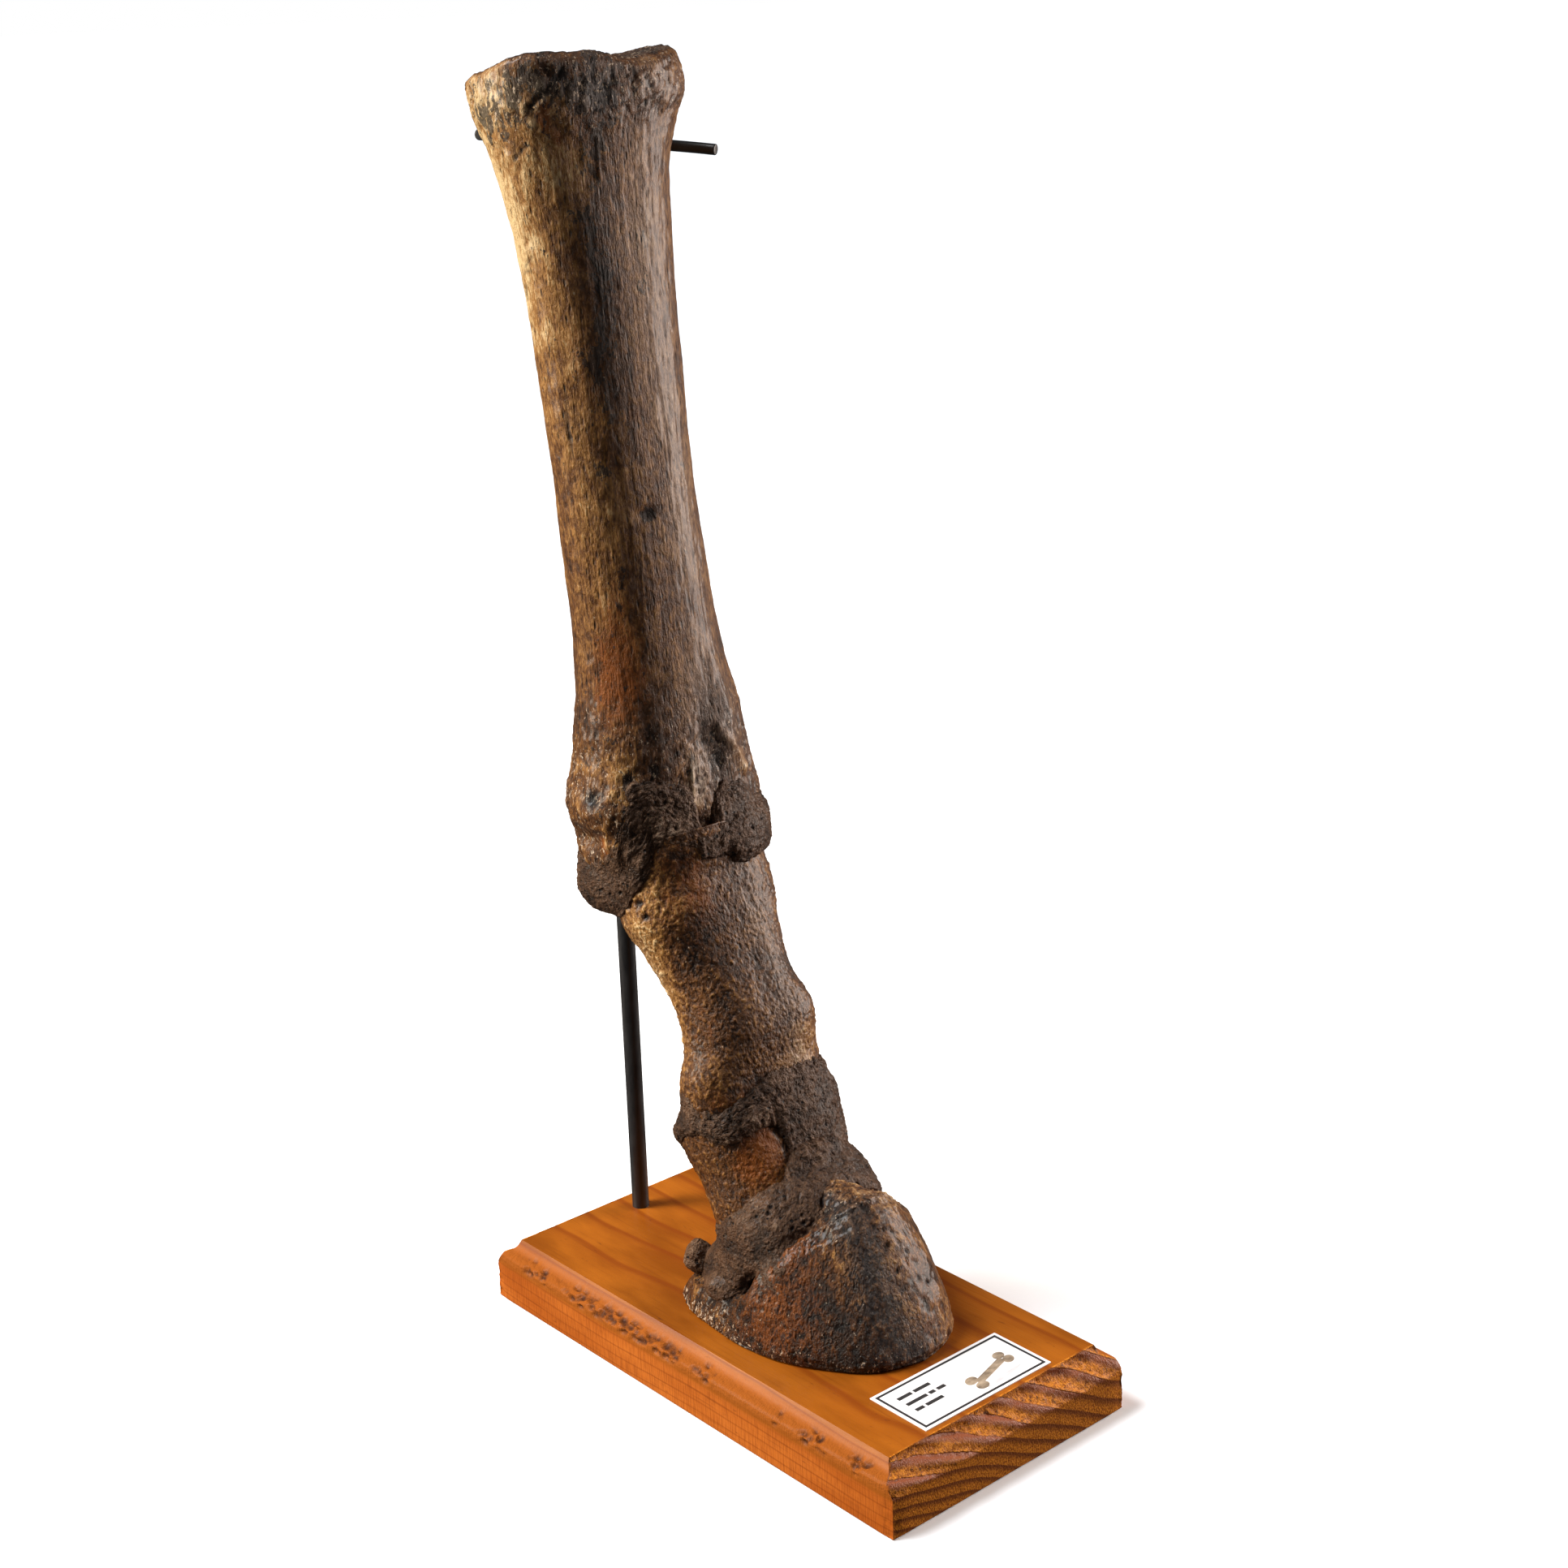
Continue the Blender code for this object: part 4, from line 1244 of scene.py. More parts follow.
coffinFiller = {
    "top": (0.0, 1.0, 70.0),
    "bottom": (0.0, -12.0, 34.0),
    "sections": [
        (0, 20.0, 21.0, 15.0, 11.0, 2.3),
        (7, 27.0, 27.0, 20.5, 15.5, 2.3),
        (18, 30.0, 29.0, 25.5, 20.5, 2.3),
        (28, 30.5, 29.0, 22.0, 25.0, 2.3),
        (38, 25.0, 24.0, 16.0, 20.0, 2.3),
    ],
    "lumps": [
        (26, 222, 9.0, 6, 17),
        (31, 250, 2.0, 5, 14),
        (25, 138, 4.0, 6, 18),
        (16, 300, 0.9, 5, 16),
        (12, 48, -2.4, 9, 24),
    ],
    "edges": [
        (0, -6.0, 12.0), (6, -6.0, 12.0), (22, -6.0, 13.5), (40, -6.0, 17.0), (52, -5.0, 21.0),
        (66, -2.0, 22.0), (90, 0.0, 27.0), (138, 4.0, 33.0), (180, 4.0, 27.0), (222, 9.0, 34.0),
        (240, 13.0, 36.0), (255, 11.8, 36.0), (264, 9.6, 35.0), (274, 7.4, 31.5), (286, 4.6, 29.2),
        (293, 3.6, 32.0), (298, 2.9, 34.5), (303, 2.5, 33.5), (307, 2.4, 29.0), (310, 2.3, 25.0),
        (313, 2.2, 22.5), (316, 0.0, 21.0), (320, -2.0, 20.5), (326, -2.8, 19.5),
        (332, -4.0, 18.5), (338, -5.0, 17.5), (343, -6.0, 13.5), (352, -6.0, 12.0), (360, -6.0, 12.0),
    ],
    "over": (shortPastern, coffinBone),
    "thick": 0.5,
    "bridge": 8.0,
    "shoulder": 4.5,
    "sink": 0.0,
    "evenRows": 170,
    "tones": [(22, 290, 10, 24, -0.06)],
    "grid": (130, 360),
}


paste = {
    "ragged": 0.9,  # height of the noise on the edges, and its size round a circle of 1
    "raggedSize": 0.11,
    "hollow": 3.0,  # the filled skin lies at most this far under the collar
    "blend": 1.2,  # width of the smooth step from collar to skin
    "meanRadius": 28.0,
    "tuck": 0.7,  # how deep the edges go under the skin of the bones
    "capRings": 5,
    "folds": 0.6,
    "crumbs": 0.55,
    "cracks": 0.35,
    "pits": 0.8,
}


def withoutValleys(table, reach):
    # along the first axis: the highest value within reach, the lowest of those within
    # reach, and then the mean over a quarter of it, both ways
    def sliding(values, half, pick, axis, edge):
        margin = [(0, 0), (0, 0)]
        margin[axis] = (half, half)
        padded = np.pad(values, margin, mode=edge)
        windows = np.lib.stride_tricks.sliding_window_view(padded, 2 * half + 1, axis=axis)
        return pick(windows, axis=-1)

    high = sliding(table, reach, np.max, 0, "edge")
    filled = sliding(high, reach, np.min, 0, "edge")
    for turn in range(2):
        filled = sliding(filled, max(reach // 4, 1), np.mean, 0, "edge")
        filled = sliding(filled, 2, np.mean, 1, "wrap")
    return filled


def makeFiller(name, filler, node, finish, seed):
    # paste over the bones between two ragged edges: the collar, or the bones' skin and a
    # little more where that is wider. The valleys between the bones are filled, and at its
    # edges the paste sinks to the skin along s(2 - s)
    rows, columns = filler["grid"]
    angle = np.arange(columns) * 360 / columns
    upper, lower = smoothTable(filler["edges"], angle).T
    ring = np.stack((np.cos(np.radians(angle)), np.sin(np.radians(angle)), 0 * angle), -1)
    upper = upper + paste["ragged"] * layeredNoise(ring, paste["raggedSize"], 3, seed + 20, 0.7)
    lower = lower + paste["ragged"] * layeredNoise(ring, paste["raggedSize"], 3, seed + 30, 0.7)
    share = 0.5 - 0.5 * np.cos(np.linspace(0, math.pi, rows))[:, None]
    downs = upper + (lower - upper) * share
    angles = np.broadcast_to(angle, downs.shape)
    axes = boneAxes(filler)
    past = filler["bridge"] + 1
    even = np.linspace(upper.min() - past, lower.max() + past, filler["evenRows"])
    evenDowns, evenAngles = np.meshgrid(even, angle, indexing="ij")
    collar = sectionRadius(filler, evenDowns, evenAngles)
    skin = wrapRadius(axes, evenDowns, evenAngles, filler["over"], collar)
    reach = int(filler["bridge"] / (even[1] - even[0]))
    bare = withoutValleys((skin == 0).astype(float), 2)
    skin = withoutValleys(np.maximum(skin, collar - paste["hollow"]), reach) - filler["sink"] * bare
    skinOver = skin + filler["thick"]
    blend = paste["blend"]
    full = np.maximum(collar, skinOver) + blend / 2 * np.exp(-np.abs(collar - skinOver) / blend)
    full = withoutValleys(full, reach)
    place = np.clip((downs - even[0]) / (even[1] - even[0]), 0, len(even) - 1.001)
    row, column = place.astype(int), np.arange(columns)[None, :]
    skin = skin[row, column] * (1 - place % 1) + skin[row + 1, column] * (place % 1)
    full = full[row, column] * (1 - place % 1) + full[row + 1, column] * (place % 1)

    def toEdge(gap, edge):
        # distance to a slanting edge: the gap along the axis times the cosine of its slope
        rise = np.gradient(np.concatenate((edge[-1:], edge, edge[:1])))[1:-1]
        return gap / np.hypot(1, rise / (paste["meanRadius"] * math.radians(360 / columns)))

    nearest = np.minimum(toEdge(downs - upper, upper), toEdge(lower - downs, lower))
    part = np.clip(nearest / filler["shoulder"], 0, 1)
    radius = skin + (full - skin) * part * (2 - part)
    radius = radius - paste["tuck"] * (1 - ease(0, paste["tuck"], nearest))
    start, along, front, right = axes
    side = start + downs[..., None] * along + radius[..., None] * sideways(angles, front, right)
    capRings = paste["capRings"]
    shrink = (np.arange(1, capRings + 1) / (capRings + 1))[:, None, None]
    top, bottom = side[0].mean(axis=0), side[-1].mean(axis=0)
    topRings = top + (side[0] - top) * shrink
    bottomRings = bottom + (side[-1] - bottom) * shrink[::-1]
    skin = closedSkin(np.concatenate((topRings, side, bottomRings)))
    points = skin[0]
    first, last = np.repeat(downs[:1], capRings, 0), np.repeat(downs[-1:], capRings, 0)
    allDowns = np.concatenate((first, downs, last))
    allAngles = np.broadcast_to(angle, allDowns.shape)
    folds = layeredNoise(points, 9, 3, seed)
    crumbs = layeredNoise(points, 2.3, 4, seed + 3, 0.7)
    cracks = np.abs(layeredNoise(points, 8, 3, seed + 5, 0.6))
    pits = pitField(points, 4.4, 0.35, 1.0, seed + 7)
    crease = ease(0.0, 0.05, 0.05 - cracks)
    relief = paste["folds"] * folds + paste["crumbs"] * crumbs
    relief = relief - paste["cracks"] * crease - paste["pits"] * pits
    fields = {
        "tone": 0.45 * relief + withPoles(sumSpots(allDowns, allAngles, filler["tones"])),
        "brown": np.clip(0.50 + 0.3 * folds, 0, 1),
        "dirt": np.clip(0.8 * pits + 0.25 * crease, 0, 1),
    }
    makePiece(name, carved(skin, relief), finish, [node], fields)


def makeLump(name, centre, sizes, finish, seed):
    # a ball squeezed to the sizes and crumpled
    fall = np.linspace(0, math.pi, 48)[1:-1, None]
    around = np.linspace(0, 2 * math.pi, 80, endpoint=False)[None, :]
    ball = np.stack((
        np.sin(fall) * np.cos(around),
        np.sin(fall) * np.sin(around),
        np.cos(fall) + 0 * around,
    ), -1)
    skin = closedSkin(ball * sizes + centre)
    relief = 0.9 * layeredNoise(skin[0], 5, 4, seed, 0.62)
    pits = pitField(skin[0], 3.0, 0.5, 0.9, seed + 3)
    fields = {"tone": 0.2 * relief + 0.08, "brown": 0.6 + 0 * relief, "dirt": 0.5 * pits}
    makePiece(name, carved(skin, relief - 0.5 * pits), finish, ["coffin_filler"], fields)


boardShape = {
    "halfSize": (51.0, 100.0),
    "thickness": 22.5,
    "moulding": [  # along the outline, height, how far the sides stand in, the ends
        (0, 0.0, 0.6, 0.6),
        (0.8, 0.6, 0.0, 0.0),
        (13.8, 13.6, 0.0, 0.0),
        (15.4, 15.0, 0.0, 0.7),
        (17.6, 16.6, 0.2, 2.1),
        (19.4, 17.8, 0.9, 3.3),
        (20.8, 18.4, 2.0, 4.1),
        (22.4, 18.9, 3.4, 5.0),
        (24.2, 20.0, 4.7, 6.2),
        (25.6, 21.2, 5.3, 7.0),
        (27.2, 22.5, 6.0, 7.4),
    ],
    "step": 0.85,
    "rows": 46,
}

pineLook = {
    "pith": (-107.0, -250.0),
    "nearest": 256.0,  # reach of the lowest left corner from the pith
    "growth": 0.0175,  # rings get wider by this share for each millimetre outward
    "rings": 17.9,
    "tears": [(78, 7), (50, 12), (26, 14), (8, 8), (-13, 4), (-47, 4), (-64, 5), (-83, 5)],
}

boardRelief = {  # heights in mm
    "tears": 0.9,
    "cove": 0.10,
    "rings": 0.8,
    "ringFoot": 0.35,
    "ringChips": 0.6,
    "grain": 0.05,
    "endChips": 0.10,
    "nickReach": 3.0,
}

pineColours = {
    "topDark": (0.190, 0.049, 0.0028),
    "topLight": (0.34, 0.099, 0.0080),
    "sideDark": (0.36, 0.082, 0.0085),
    "sideLight": (0.50, 0.135, 0.019),
    "hatch": (0.23, 0.050, 0.007),
    "ring": (0.17, 0.033, 0.003),
    "fibre": (0.13, 0.028, 0.0035),
    "fleck": (0.075, 0.019, 0.005),
    "endDark": (0.26, 0.068, 0.0055),
    "endLight": (0.68, 0.240, 0.021),
    "endRing": (0.125, 0.030, 0.007),
    "gloss": (0.27, 0.085, 0.045),
    "bevel": (0.30, 0.082, 0.007),
    "cove": (0.24, 0.060, 0.004),
    "torn": (0.040, 0.013, 0.006),
}


def boardSkin(shape):
    # rings round the outline at each height of the moulding, closed above by a level grid
    # whose border is the last ring, and below by a fan. With the skin come each point's way
    # along the moulding and a 1 for the points on an end
    halfX, halfY = shape["halfSize"]
    across = int(2 * halfX / shape["step"])
    long = int(2 * halfY / shape["step"])
    u = np.linspace(-1, 1, across + 1)
    v = np.linspace(-1, 1, long + 1)
    border = np.concatenate((
        np.stack((u[:-1], np.full(across, -1.0)), -1),
        np.stack((np.full(long, 1.0), v[:-1]), -1),
        np.stack((u[:0:-1], np.full(across, 1.0)), -1),
        np.stack((np.full(long, -1.0), v[:0:-1]), -1),
    ))
    way = np.linspace(0, shape["moulding"][-1][0], shape["rows"])
    height, side, end = smoothTable(shape["moulding"], way).T
    rows, columns = shape["rows"], len(border)
    rings = np.stack((
        border[None, :, 0] * (halfX - side)[:, None],
        border[None, :, 1] * (halfY - end)[:, None],
        np.broadcast_to(height[:, None], (rows, columns)),
    ), -1)
    topX, topY = rings[-1, :, 0].max(), rings[-1, :, 1].max()
    inside = np.stack(np.meshgrid(u[1:-1] * topX, v[1:-1] * topY, indexing="ij"), -1).reshape(-1, 2)
    onWall, onTop = rows * columns, len(inside)
    points = np.concatenate((
        rings.reshape(-1, 3),
        np.column_stack((inside, np.full(onTop, shape["thickness"]))),
        np.zeros((1, 3)),
    ))
    index = np.arange(onWall).reshape(rows, columns)
    beside = np.roll(index, -1, axis=1)
    wall = np.stack((index[:-1], beside[:-1], beside[1:], index[1:]), -1).reshape(-1, 4)
    ring = index[-1]
    grid = np.empty((across + 1, long + 1), np.int64)
    grid[1:-1, 1:-1] = onWall + np.arange(onTop).reshape(across - 1, long - 1)
    grid[:-1, 0] = ring[:across]
    grid[-1, :-1] = ring[across : across + long]
    grid[:0:-1, -1] = ring[across + long : 2 * across + long]
    grid[0, :0:-1] = ring[2 * across + long :]
    level = np.stack((grid[:-1, :-1], grid[1:, :-1], grid[1:, 1:], grid[:-1, 1:]), -1).reshape(-1, 4)
    fans = np.stack((np.full(columns, onWall + onTop), beside[0], index[0]), -1)
    skin = outward(points, np.concatenate((wall, level)), fans)
    ends = (np.abs(border[:, 1]) == 1) & (np.abs(border[:, 0]) < 1)
    wayAll = np.concatenate((np.repeat(way, columns), np.full(onTop, way[-1] + 3), (-3.0,)))
    return skin, wayAll, np.append(np.tile(ends, rows), np.zeros(onTop + 1)).astype(float)


def makeBoard():
    # the cove along the left side is torn by clusters of pits, the ends show the rings of
    # the tree as low ridges, and the corners are nicked
    shape, high = boardShape, boardRelief
    skin, wayAll, endAll = boardSkin(shape)
    points = skin[0]
    inCove = np.exp(-(((wayAll - 19.3) / 4.2) ** 2)) * (1 - endAll) * (points[:, 0] < 0)
    onSlope = ease(13.4, 15.2, wayAll) * (1 - ease(26.2, 27.2, wayAll)) * endAll
    torn = layeredNoise(points * (1, 0.8, 1), 2.6, 4, 71, 0.66)
    along = 0.04 + sum(np.exp(-(((points[:, 1] - y) / wide) ** 2)) for y, wide in pineLook["tears"])
    clusters = ease(0.25, 0.75, 0.9 * np.minimum(along, 1) + 0.8 * layeredNoise(points, 9, 3, 73))
    tears = np.sqrt(pitField(points * (1, 0.75, 1), 2.3, 0.75, 1.45, 83))
    tears = tears * clusters * ease(0.2, 0.7, inCove)
    pithX, pithZ = pineLook["pith"]
    reach = np.hypot(points[:, 0] - pithX, points[:, 2] - pithZ)
    reach = reach + 1.2 * layeredNoise(points * (1, 0.05, 1), 26, 2, 75)
    past = (reach - pineLook["nearest"]).clip(-30)
    phase = pineLook["rings"] * np.log(1 + pineLook["growth"] * past)
    ridge = ease(0.40, 0.72, phase % 1) * (1 - ease(0.90, 1.0, phase % 1))
    chips = layeredNoise(points, 1.6, 3, 77, 0.6)
    relief = (
        -high["tears"] * tears
        - high["cove"] * inCove * np.abs(torn)
        + onSlope * (high["rings"] * ridge - high["ringFoot"] + high["ringChips"] * chips * (1 - ridge))
        + high["grain"] * layeredNoise(points * (1, 0.1, 1), 9, 2, 79)
        + high["endChips"] * endAll * chips * (1 - onSlope) * ease(0.5, 2, wayAll)
    )
    toCorner = np.minimum(np.abs(np.abs(points[:, :2]) - shape["halfSize"]), 9).sum(axis=1)
    nicks = 0.35 + 0.9 * np.abs(layeredNoise(points, 4, 3, 81))
    nicks = nicks * np.exp(-((toCorner / high["nickReach"]) ** 2))
    relief = np.where(wayAll <= 0.01, 0, relief - nicks * ease(0, 1, wayAll))
    points, quads, fans = carved(skin, relief)
    points[:, 2] = np.clip(points[:, 2], 0, shape["thickness"] + 0.05)
    fields = {
        "tear": np.clip(tears, 0, 1),
        "cove": np.clip(inCove, 0, 1),
        "bevel": ease(12.8, 14.6, wayAll) * (1 - ease(23.5, 26.0, wayAll)) * (1 - endAll),
        "endGrain": endAll,
        "slope": onSlope,
        "top": ease(21.5, 27, wayAll),
    }
    makePiece("board", (points, quads, fans), pineFinish(), ["wood_base"], fields, 40)


def pineFinish():
    # growth rings are circles round a pith under the board, so one formula gives arcs on
    # the ends, straight lines on the sides and wide figure on the top. Late wood is the dark
    # part of a ring: rings * log(1 + growth * reach), of which the fraction counts
    finish = Finish("varnished_pine")
    colours = pineColours
    wander = finish.noise(finish.stretched((26, 500, 26)), 2, 0.5)
    wave = finish.noise(finish.stretched((60, 90, 60)), 2, 0.5)
    parts = finish.node("ShaderNodeSeparateXYZ", {}, {"Vector": finish.place})
    pithX, pithZ = pineLook["pith"]
    overX = parts[0] * (1 / mm) - pithX
    overZ = parts[2] * (1 / mm) - pithZ
    reach = (overX * overX + overZ * overZ) ** 0.5 + (wander - 0.5) * 2.4 + (wave - 0.5) * 6.0
    wider = finish.math("MAXIMUM", (reach - pineLook["nearest"]) * pineLook["growth"] + 1, 0.4)
    share = finish.math("FRACT", finish.math("LOGARITHM", wider, math.e) * pineLook["rings"], 0.0)
    late = share.between(0.35, 0.85) * (1 - share.between(0.92, 1.0))
    thin = share.between(0.74, 0.88) * (1 - share.between(0.90, 1.0))
    fine = finish.noise(finish.stretched((0.7, 30, 0.7)), 4, 0.6)
    hatch = finish.noise(finish.stretched((1.5, 0.55, 7.0)), 2, 0.5)
    fleck = finish.noise(finish.stretched((1.2, 5, 1.2)), 5, 0.6)
    broad = finish.noise(finish.stretched((22, 70, 22)), 4, 0.6)
    onEnd = finish.field("endGrain")
    onTop = finish.field("top")
    cloud = broad.between(0.3, 0.7)
    topLook = finish.mix(colours["topDark"], colours["topLight"], cloud)
    sideLook = finish.mix(colours["sideDark"], colours["sideLight"], cloud)
    sideLook = finish.mix(sideLook, colours["hatch"], hatch.between(0.42, 0.66) * 0.45)
    long = finish.mix(sideLook, topLook, onTop)
    long = finish.mix(long, colours["ring"], late * 0.28 * onTop + thin * 0.42)
    long = finish.mix(long, colours["fibre"], fine.between(0.54, 0.80) * 0.45)
    long = finish.mix(long, colours["fleck"], fleck.between(0.64, 0.76) * 0.6)
    # end grain is darker and full of pores
    pores = finish.noise(finish.stretched((0.55, 0.9, 0.8)), 3, 0.6)
    spongy = finish.mix(colours["endDark"], colours["endLight"], pores.between(0.32, 0.68))
    endLook = finish.mix(spongy, colours["endRing"], late * 0.85)
    base = finish.mix(long, endLook, onEnd.between(0.3, 0.7))
    slope, cove = finish.field("slope"), finish.field("cove")
    glossy = late * slope
    base = finish.mix(base, colours["gloss"], glossy * 0.75)
    base = finish.mix(base, colours["bevel"], finish.field("bevel") * 0.85)
    base = finish.mix(base, colours["cove"], cove * 0.5)
    rough = finish.noise(finish.stretched((1.6, 2.2, 1.6)), 5, 0.65)
    torn = slope * (1 - late) * rough.between(0.56, 0.66)
    torn = torn * 0.8 + finish.field("tear") * rough.between(0.30, 0.52)
    base = finish.mix(base, colours["torn"], torn.clamped())
    height = (
        fine * 0.10
        + pores * onEnd * 0.45
        + rough * (cove + slope * (1 - late)) * 0.7
        + hatch * (1 - onTop) * (1 - onEnd) * 0.25
    )
    return finish.shade(
        colour=base,
        roughness=0.36 + cove * 0.50 + onEnd * 0.16 - glossy * 0.26,
        normal=finish.bump(height, 0.8, 1.0),
        coat=0.04,
        coatRoughness=0.2,
        specular=0.12,
    )


steel = {
    "rodPlace": (0.7, 83.3),
    "rodRadius": 3.0,
    "rodEnds": (7.8, 389.3),
    "barRadius": 1.75,
    "barCentre": (-15.0, 33.0),
    "barBend": 53.9,
    "barEnds": ((27.0, 387.7), (117.0, 396.3)),  # degrees from +X, height
    "rounding": {"rod": 0.4, "bar": 0.35},
    "sides": {"rod": 64, "bar": 48},
    "circles": {"rod": 60, "bar": 90},
    "paint": [(0.3, (0.008, 0.008, 0.009)), (0.8, (0.022, 0.022, 0.024))],
    "creaseAngle": 50,
}


def tube(path, radius, sides, rounding, arcSteps=7):
    # circles of the radius square to the path; both ends are rounded off by an arc
    path = np.asarray(path, float)
    tangent = np.gradient(path, axis=0)
    tangent /= np.linalg.norm(tangent, axis=1)[:, None]
    helper = np.array((0.0, 1.0, 0.0)) if abs(tangent[0, 2]) > 0.7 else np.array((0.0, 0.0, 1.0))
    one = np.cross(tangent, helper)
    one /= np.linalg.norm(one, axis=1)[:, None]
    two = np.cross(tangent, one)
    turn = np.linspace(0, math.pi / 2, arcSteps)
    inward = (rounding * (1 - np.cos(turn)))[:, None]
    small = radius - rounding * (1 - np.sin(turn))
    first = path[0] + tangent[0] * inward
    last = (path[-1] - tangent[-1] * inward)[::-1]
    middles = np.concatenate((first, path[1:-1], last))
    repeats = np.ones(len(path), int)
    repeats[[0, -1]] = arcSteps
    ones, twos = (np.repeat(axis, repeats, axis=0)[:, None] for axis in (one, two))
    sizes = np.concatenate((small, np.full(len(path) - 2, radius), small[::-1]))[:, None, None]
    angle = np.linspace(0, 2 * math.pi, sides, endpoint=False)[None, :, None]
    return closedSkin(middles[:, None] + sizes * (np.cos(angle) * ones + np.sin(angle) * twos))


def makeSteel():
    # the rod is a tube on a straight upright path, the cradle bar one on a level arc that
    # climbs evenly from end to end
    finish = Finish("black_satin_paint")
    wear = finish.noise(finish.stretched((2.5, 2.5, 9)), 4, 0.6)
    grain = finish.noise(finish.stretched((0.5, 0.5, 0.9)), 3, 0.6)
    material = finish.shade(
        colour=finish.ramp(wear, steel["paint"]),
        roughness=0.34 + (wear - 0.5) * 0.3,
        normal=finish.bump(grain, 0.06, 0.5),
        metallic=0.0,
    )
    height = np.linspace(*steel["rodEnds"], steel["circles"]["rod"])
    x, y = steel["rodPlace"]
    rodPath = np.column_stack((0 * height + x, 0 * height + y, height))
    (angleA, heightA), (angleB, heightB) = steel["barEnds"]
    circles = steel["circles"]["bar"]
    angle = np.radians(np.linspace(angleA, angleB, circles))
    barPath = np.column_stack((
        steel["barCentre"][0] + steel["barBend"] * np.cos(angle),
        steel["barCentre"][1] + steel["barBend"] * np.sin(angle),
        np.linspace(heightA, heightB, circles),
    ))
    parts = (("rod", "rod", rodPath, "support_rod"), ("cradle", "bar", barPath, "cradle_bar"))
    for name, kind, path, node in parts:
        skin = tube(path, steel[kind + "Radius"], steel["sides"][kind], steel["rounding"][kind])
        makePiece(name, skin, material, [node], sharp=steel["creaseAngle"])


card = {
    "size": (55.0, 24.6),
    "centreY": -78.1,
    "heights": (22.5, 22.8),
    "ink": 0.05,  # how far the ink stands over the paper, and how deep it starts in it
    "apart": 0.001,  # step between inks that lie on each other
    "frame": 1.1,
    "line": 0.9,
    "words": [  # left end, right end, height on the card
        (-22.0, -16.2, 5.6), (-15.2, -8.4, 5.6),
        (-22.0, -13.4, 1.6), (-12.4, -10.0, 1.6), (-9.0, -5.6, 1.6),
        (-22.0, -18.6, -2.4), (-17.6, -10.4, -2.4),
    ],
    "halfWord": 0.75,
    "shaft": [(2.5, -3.4), (3.2, -6.0), (18.2, -1.6), (17.5, 1.0)],
    "knobs": [  # x, y, half sizes, turn
        (1.8, -2.6, 2.5, 1.9, 20),
        (2.8, -6.6, 2.4, 1.9, 10),
        (18.4, 1.9, 2.2, 1.8, 10),
        (19.4, -1.6, 2.2, 1.8, 30),
    ],
    "shadow": (11.5, -7.6, 8.5, 0.8, 8),
    "creaseAngle": 30,
}

cardColours = {
    "paper": ((0.80, 0.79, 0.82), (0.86, 0.86, 0.87)),
    "dark": ((0.012, 0.012, 0.014), (0.035, 0.033, 0.034)),
    "beige": [(0.3, (0.10, 0.070, 0.045)), (0.7, (0.42, 0.33, 0.24))],
    "grey": ((0.45, 0.45, 0.48), (0.70, 0.70, 0.73)),
}


def plate(outline, low, high):
    # a flat solid over a closed outline: two fans and a wall between them
    outline = np.asarray(outline, float)
    count = len(outline)
    middle = outline.mean(axis=0)
    points = np.concatenate((
        np.column_stack((outline, np.full(count, low))),
        np.column_stack((outline, np.full(count, high))),
        [(*middle, low), (*middle, high)],
    ))
    i = np.arange(count)
    j = (i + 1) % count
    quads = np.column_stack((i, j, j + count, i + count))
    fans = np.concatenate((
        np.column_stack((np.full(count, 2 * count), j, i)),
        np.column_stack((np.full(count, 2 * count + 1), i + count, j + count)),
    ))
    return outward(points, quads, fans)


def box(x0, x1, y0, y1, low, high):
    # a plate over a rectangle
    return plate([(x0, y0), (x1, y0), (x1, y1), (x0, y1)], low, high)


def joined(skins):
    # several closed skins as one mesh
    points, quads, fans, total = [], [], [], 0
    for skin in skins:
        points.append(skin[0])
        quads.append(skin[1] + total)
        fans.append(skin[2] + total)
        total += len(skin[0])
    return np.concatenate(points), np.concatenate(quads), np.concatenate(fans)


def oval(x, y, halfX, halfY, turn, count=40):
    # outline of an ellipse turned by degrees
    angle = np.linspace(0, 2 * math.pi, count, endpoint=False)
    a, b = halfX * np.cos(angle), halfY * np.sin(angle)
    c, s = math.cos(math.radians(turn)), math.sin(math.radians(turn))
    return np.column_stack((x + a * c - b * s, y + a * s + b * c))


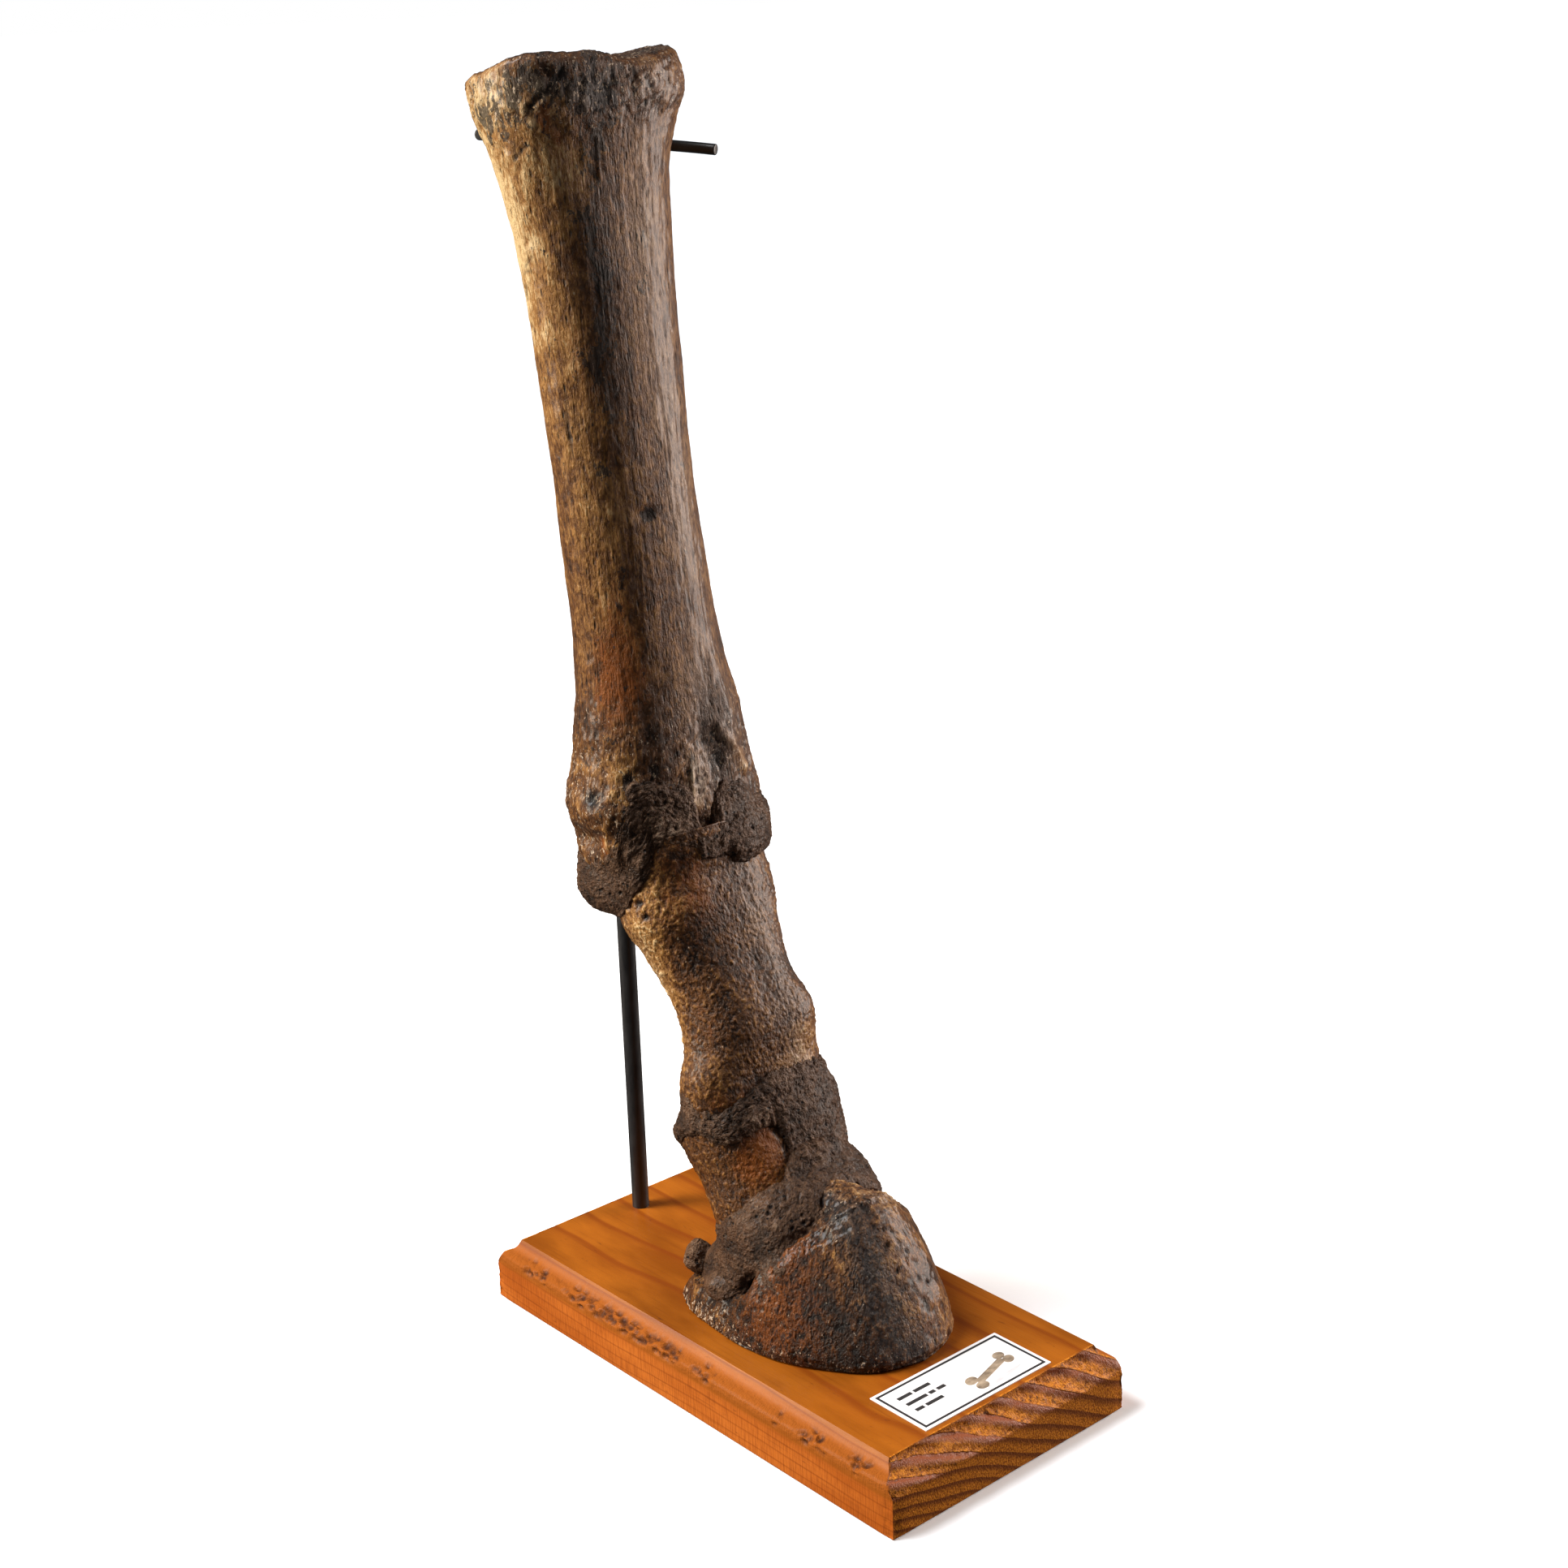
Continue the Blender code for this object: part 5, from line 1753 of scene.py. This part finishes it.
def makeCard():
    # the paper, and on it as thin plates a frame with three rows of short bars that stand
    # for a caption, a plain drawing of a long bone and the shadow under it
    halfX, halfY = card["size"][0] / 2, card["size"][1] / 2
    low, high = card["heights"]
    y = card["centreY"]
    under, ink, apart = high - card["ink"], high + card["ink"], card["apart"]

    def addPrint(name, skins, finish):
        makePiece(name, joined(skins), finish, ["label_card"], sharp=card["creaseAngle"])

    paper = Finish("glossy_card")
    tooth = paper.noise(paper.stretched((0.8, 0.8, 0.8)), 3, 0.6)
    tint = paper.noise(paper.stretched((14, 14, 14)), 2, 0.5)
    white = paper.shade(
        colour=paper.mix(*cardColours["paper"], tint),
        roughness=0.42 + (tooth - 0.5) * 0.1,
        normal=paper.bump(tooth, 0.02, 0.5),
    )
    addPrint("card", [box(-halfX, halfX, y - halfY, y + halfY, low, high)], white)

    wide, half = card["line"], card["halfWord"]
    x1, y1 = halfX - card["frame"], halfY - card["frame"]
    lines = [
        box(-x1, x1, y - y1, y - y1 + wide, under, ink),
        box(-x1, x1, y + y1 - wide, y + y1, under, ink),
        box(-x1, -x1 + wide, y - y1, y + y1, under, ink + apart),
        box(x1 - wide, x1, y - y1, y + y1, under, ink + apart),
    ]
    lines += [box(a, b, y + c - half, y + c + half, under, ink) for a, b, c in card["words"]]
    dark = Finish("dark_ink")
    speck = dark.noise(dark.stretched((0.6, 0.6, 0.6)), 2, 0.5)
    black = dark.shade(colour=dark.mix(*cardColours["dark"], speck), roughness=0.45)
    addPrint("card_lines", lines, black)

    shapes = [plate(np.array(card["shaft"]) + (0, y), under, ink)]
    for step, knob in enumerate(card["knobs"], 1):
        shapes.append(plate(oval(*knob) + (0, y), under, ink + apart * step))
    pale = Finish("beige_ink")
    clouds = pale.noise(pale.stretched((5, 3, 5)), 3, 0.6)
    beige = pale.shade(colour=pale.ramp(clouds, cardColours["beige"]), roughness=0.45)
    addPrint("card_drawing", shapes, beige)

    soft = Finish("grey_ink")
    mist = soft.noise(soft.stretched((3, 3, 3)), 3, 0.6)
    grey = soft.shade(colour=soft.mix(*cardColours["grey"], mist), roughness=0.45)
    addPrint("card_shadow", [plate(oval(*card["shadow"]) + (0, y), under, ink - 4 * apart)], grey)


makeCannonBone()
makePastern("long_pastern", longPastern, "long_pastern_bone", 101)
makePastern("short_pastern", shortPastern, "short_pastern_bone", 131)
makeCoffinBone()
fillerMaterial = fillerFinish("dark_filler")
makeFiller("fetlock_paste", fetlockFiller, "fetlock_filler", fillerMaterial, 151)
makeFiller("pastern_paste", pasternFiller, "pastern_filler", fillerMaterial, 171)
makeFiller("coffin_paste", coffinFiller, "coffin_filler", fillerMaterial, 191)
makeLump("heel_lump", (-25.6, 18.0, 38.0), (4.8, 4.6, 6.0), fillerMaterial, 211)
makeLump("wing_lump", (-26.6, 1.4, 34.8), (7.8, 8.6, 5.8), fillerMaterial, 221)
makeBoard()
makeSteel()
makeCard()
print("pieces made")


studio = {
    "floorReach": 30.0,
    "floorColour": (0.90, 0.94, 0.99),
    "floorGlow": 0.08,
    "worldStrength": 0.10,
    "worldColour": (1.0, 0.93, 0.86),
    "sunPlace": (-0.64, 0.47, 1.12),
    "sunSpread": 27,  # degrees
    "sunStrength": 4.1,
    "softboxes": [  # name, place, target, size, power, colour
        ("left_softbox", (-0.95, 0.75, 0.50), (-0.01, 0.04, 0.22), (0.35, 0.9), 22, (1.0, 0.88, 0.72)),
        ("right_softbox", (1.12, -0.42, 0.34), (0, 0.04, 0.22), (0.6, 1.0), 28, (1.0, 0.86, 0.77)),
    ],
}

# the camera stands front left of the leg and a little above, as the photographer did
view = {
    "focal": 3035.85,  # in pixels of a picture of this width
    "picture": 1932,
    "sensor": 36.0,
    "clip": (0.05, 100.0),
    "place": (-0.474749, -0.551525, 0.439124),
    "side": (0.748956, -0.661897, -0.030957),
    "up": (0.228862, 0.214556, 0.949520),
    "ahead": (0.621842, 0.718233, -0.312176),
}


def makeFloor():
    # one square, seen by the camera and lit, but without light of its own on the pieces
    far = studio["floorReach"]
    mesh = bpy.data.meshes.new("floor")
    corners = [(-far, -far, 0), (far, -far, 0), (far, far, 0), (-far, far, 0)]
    mesh.from_pydata(corners, [], [(0, 1, 2, 3)])
    floor = bpy.data.objects.new("floor", mesh)
    bpy.context.scene.collection.objects.link(floor)
    finish = Finish("pale_floor")
    mesh.materials.append(finish.shade(
        colour=studio["floorColour"], roughness=0.8, specular=0.05, glow=studio["floorGlow"]
    ))
    floor.visible_diffuse = False
    floor.visible_glossy = False


def addLamp(light, aim, place=(0, 0, 0)):
    # a lamp at the place whose light falls along the aim
    lamp = bpy.data.objects.new(light.name, light)
    lamp.location = place
    lamp.rotation_euler = Vector(aim).to_track_quat("-Z", "Y").to_euler()
    bpy.context.scene.collection.objects.link(lamp)


def makeLights():
    # a wide soft sun from behind left, and a softbox on each side
    sun = bpy.data.lights.new("window", "SUN")
    sun.angle = math.radians(studio["sunSpread"])
    sun.energy = studio["sunStrength"]
    addLamp(sun, -Vector(studio["sunPlace"]))
    for name, place, target, size, power, colour in studio["softboxes"]:
        box = bpy.data.lights.new(name, "AREA")
        box.shape = "RECTANGLE"
        box.size, box.size_y = size
        box.energy = power
        box.color = colour
        addLamp(box, Vector(target) - Vector(place), place)


def makeWorld():
    # white where the camera sees it, a dim warm light everywhere else
    world = bpy.data.worlds.new("studio")
    bpy.context.scene.world = world
    world.use_nodes = True
    tree = world.node_tree
    seen = tree.nodes["Background"]
    seen.inputs["Color"].default_value = (1, 1, 1, 1)
    seen.inputs["Strength"].default_value = 1.0
    lit = tree.nodes.new("ShaderNodeBackground")
    lit.inputs["Color"].default_value = (*studio["worldColour"], 1)
    lit.inputs["Strength"].default_value = studio["worldStrength"]
    path = tree.nodes.new("ShaderNodeLightPath")
    both = tree.nodes.new("ShaderNodeMixShader")
    tree.links.new(path.outputs["Is Camera Ray"], both.inputs[0])
    tree.links.new(lit.outputs[0], both.inputs[1])
    tree.links.new(seen.outputs[0], both.inputs[2])
    tree.links.new(both.outputs[0], tree.nodes["World Output"].inputs["Surface"])


def makeCamera():
    # its lens is focal * sensor / picture, and its axes are the rows of the solved turn
    data = bpy.data.cameras.new("camera")
    data.sensor_width = view["sensor"]
    data.lens = view["focal"] * view["sensor"] / view["picture"]
    data.clip_start, data.clip_end = view["clip"]
    camera = bpy.data.objects.new("camera", data)
    axes = Matrix((view["side"], view["up"], -Vector(view["ahead"])))
    camera.matrix_world = Matrix.Translation(view["place"]) @ axes.transposed().to_4x4()
    bpy.context.scene.collection.objects.link(camera)
    bpy.context.scene.camera = camera


makeFloor()
makeWorld()
makeLights()
makeCamera()
bpy.context.scene.view_settings.view_transform = "Standard"
print("stage set")
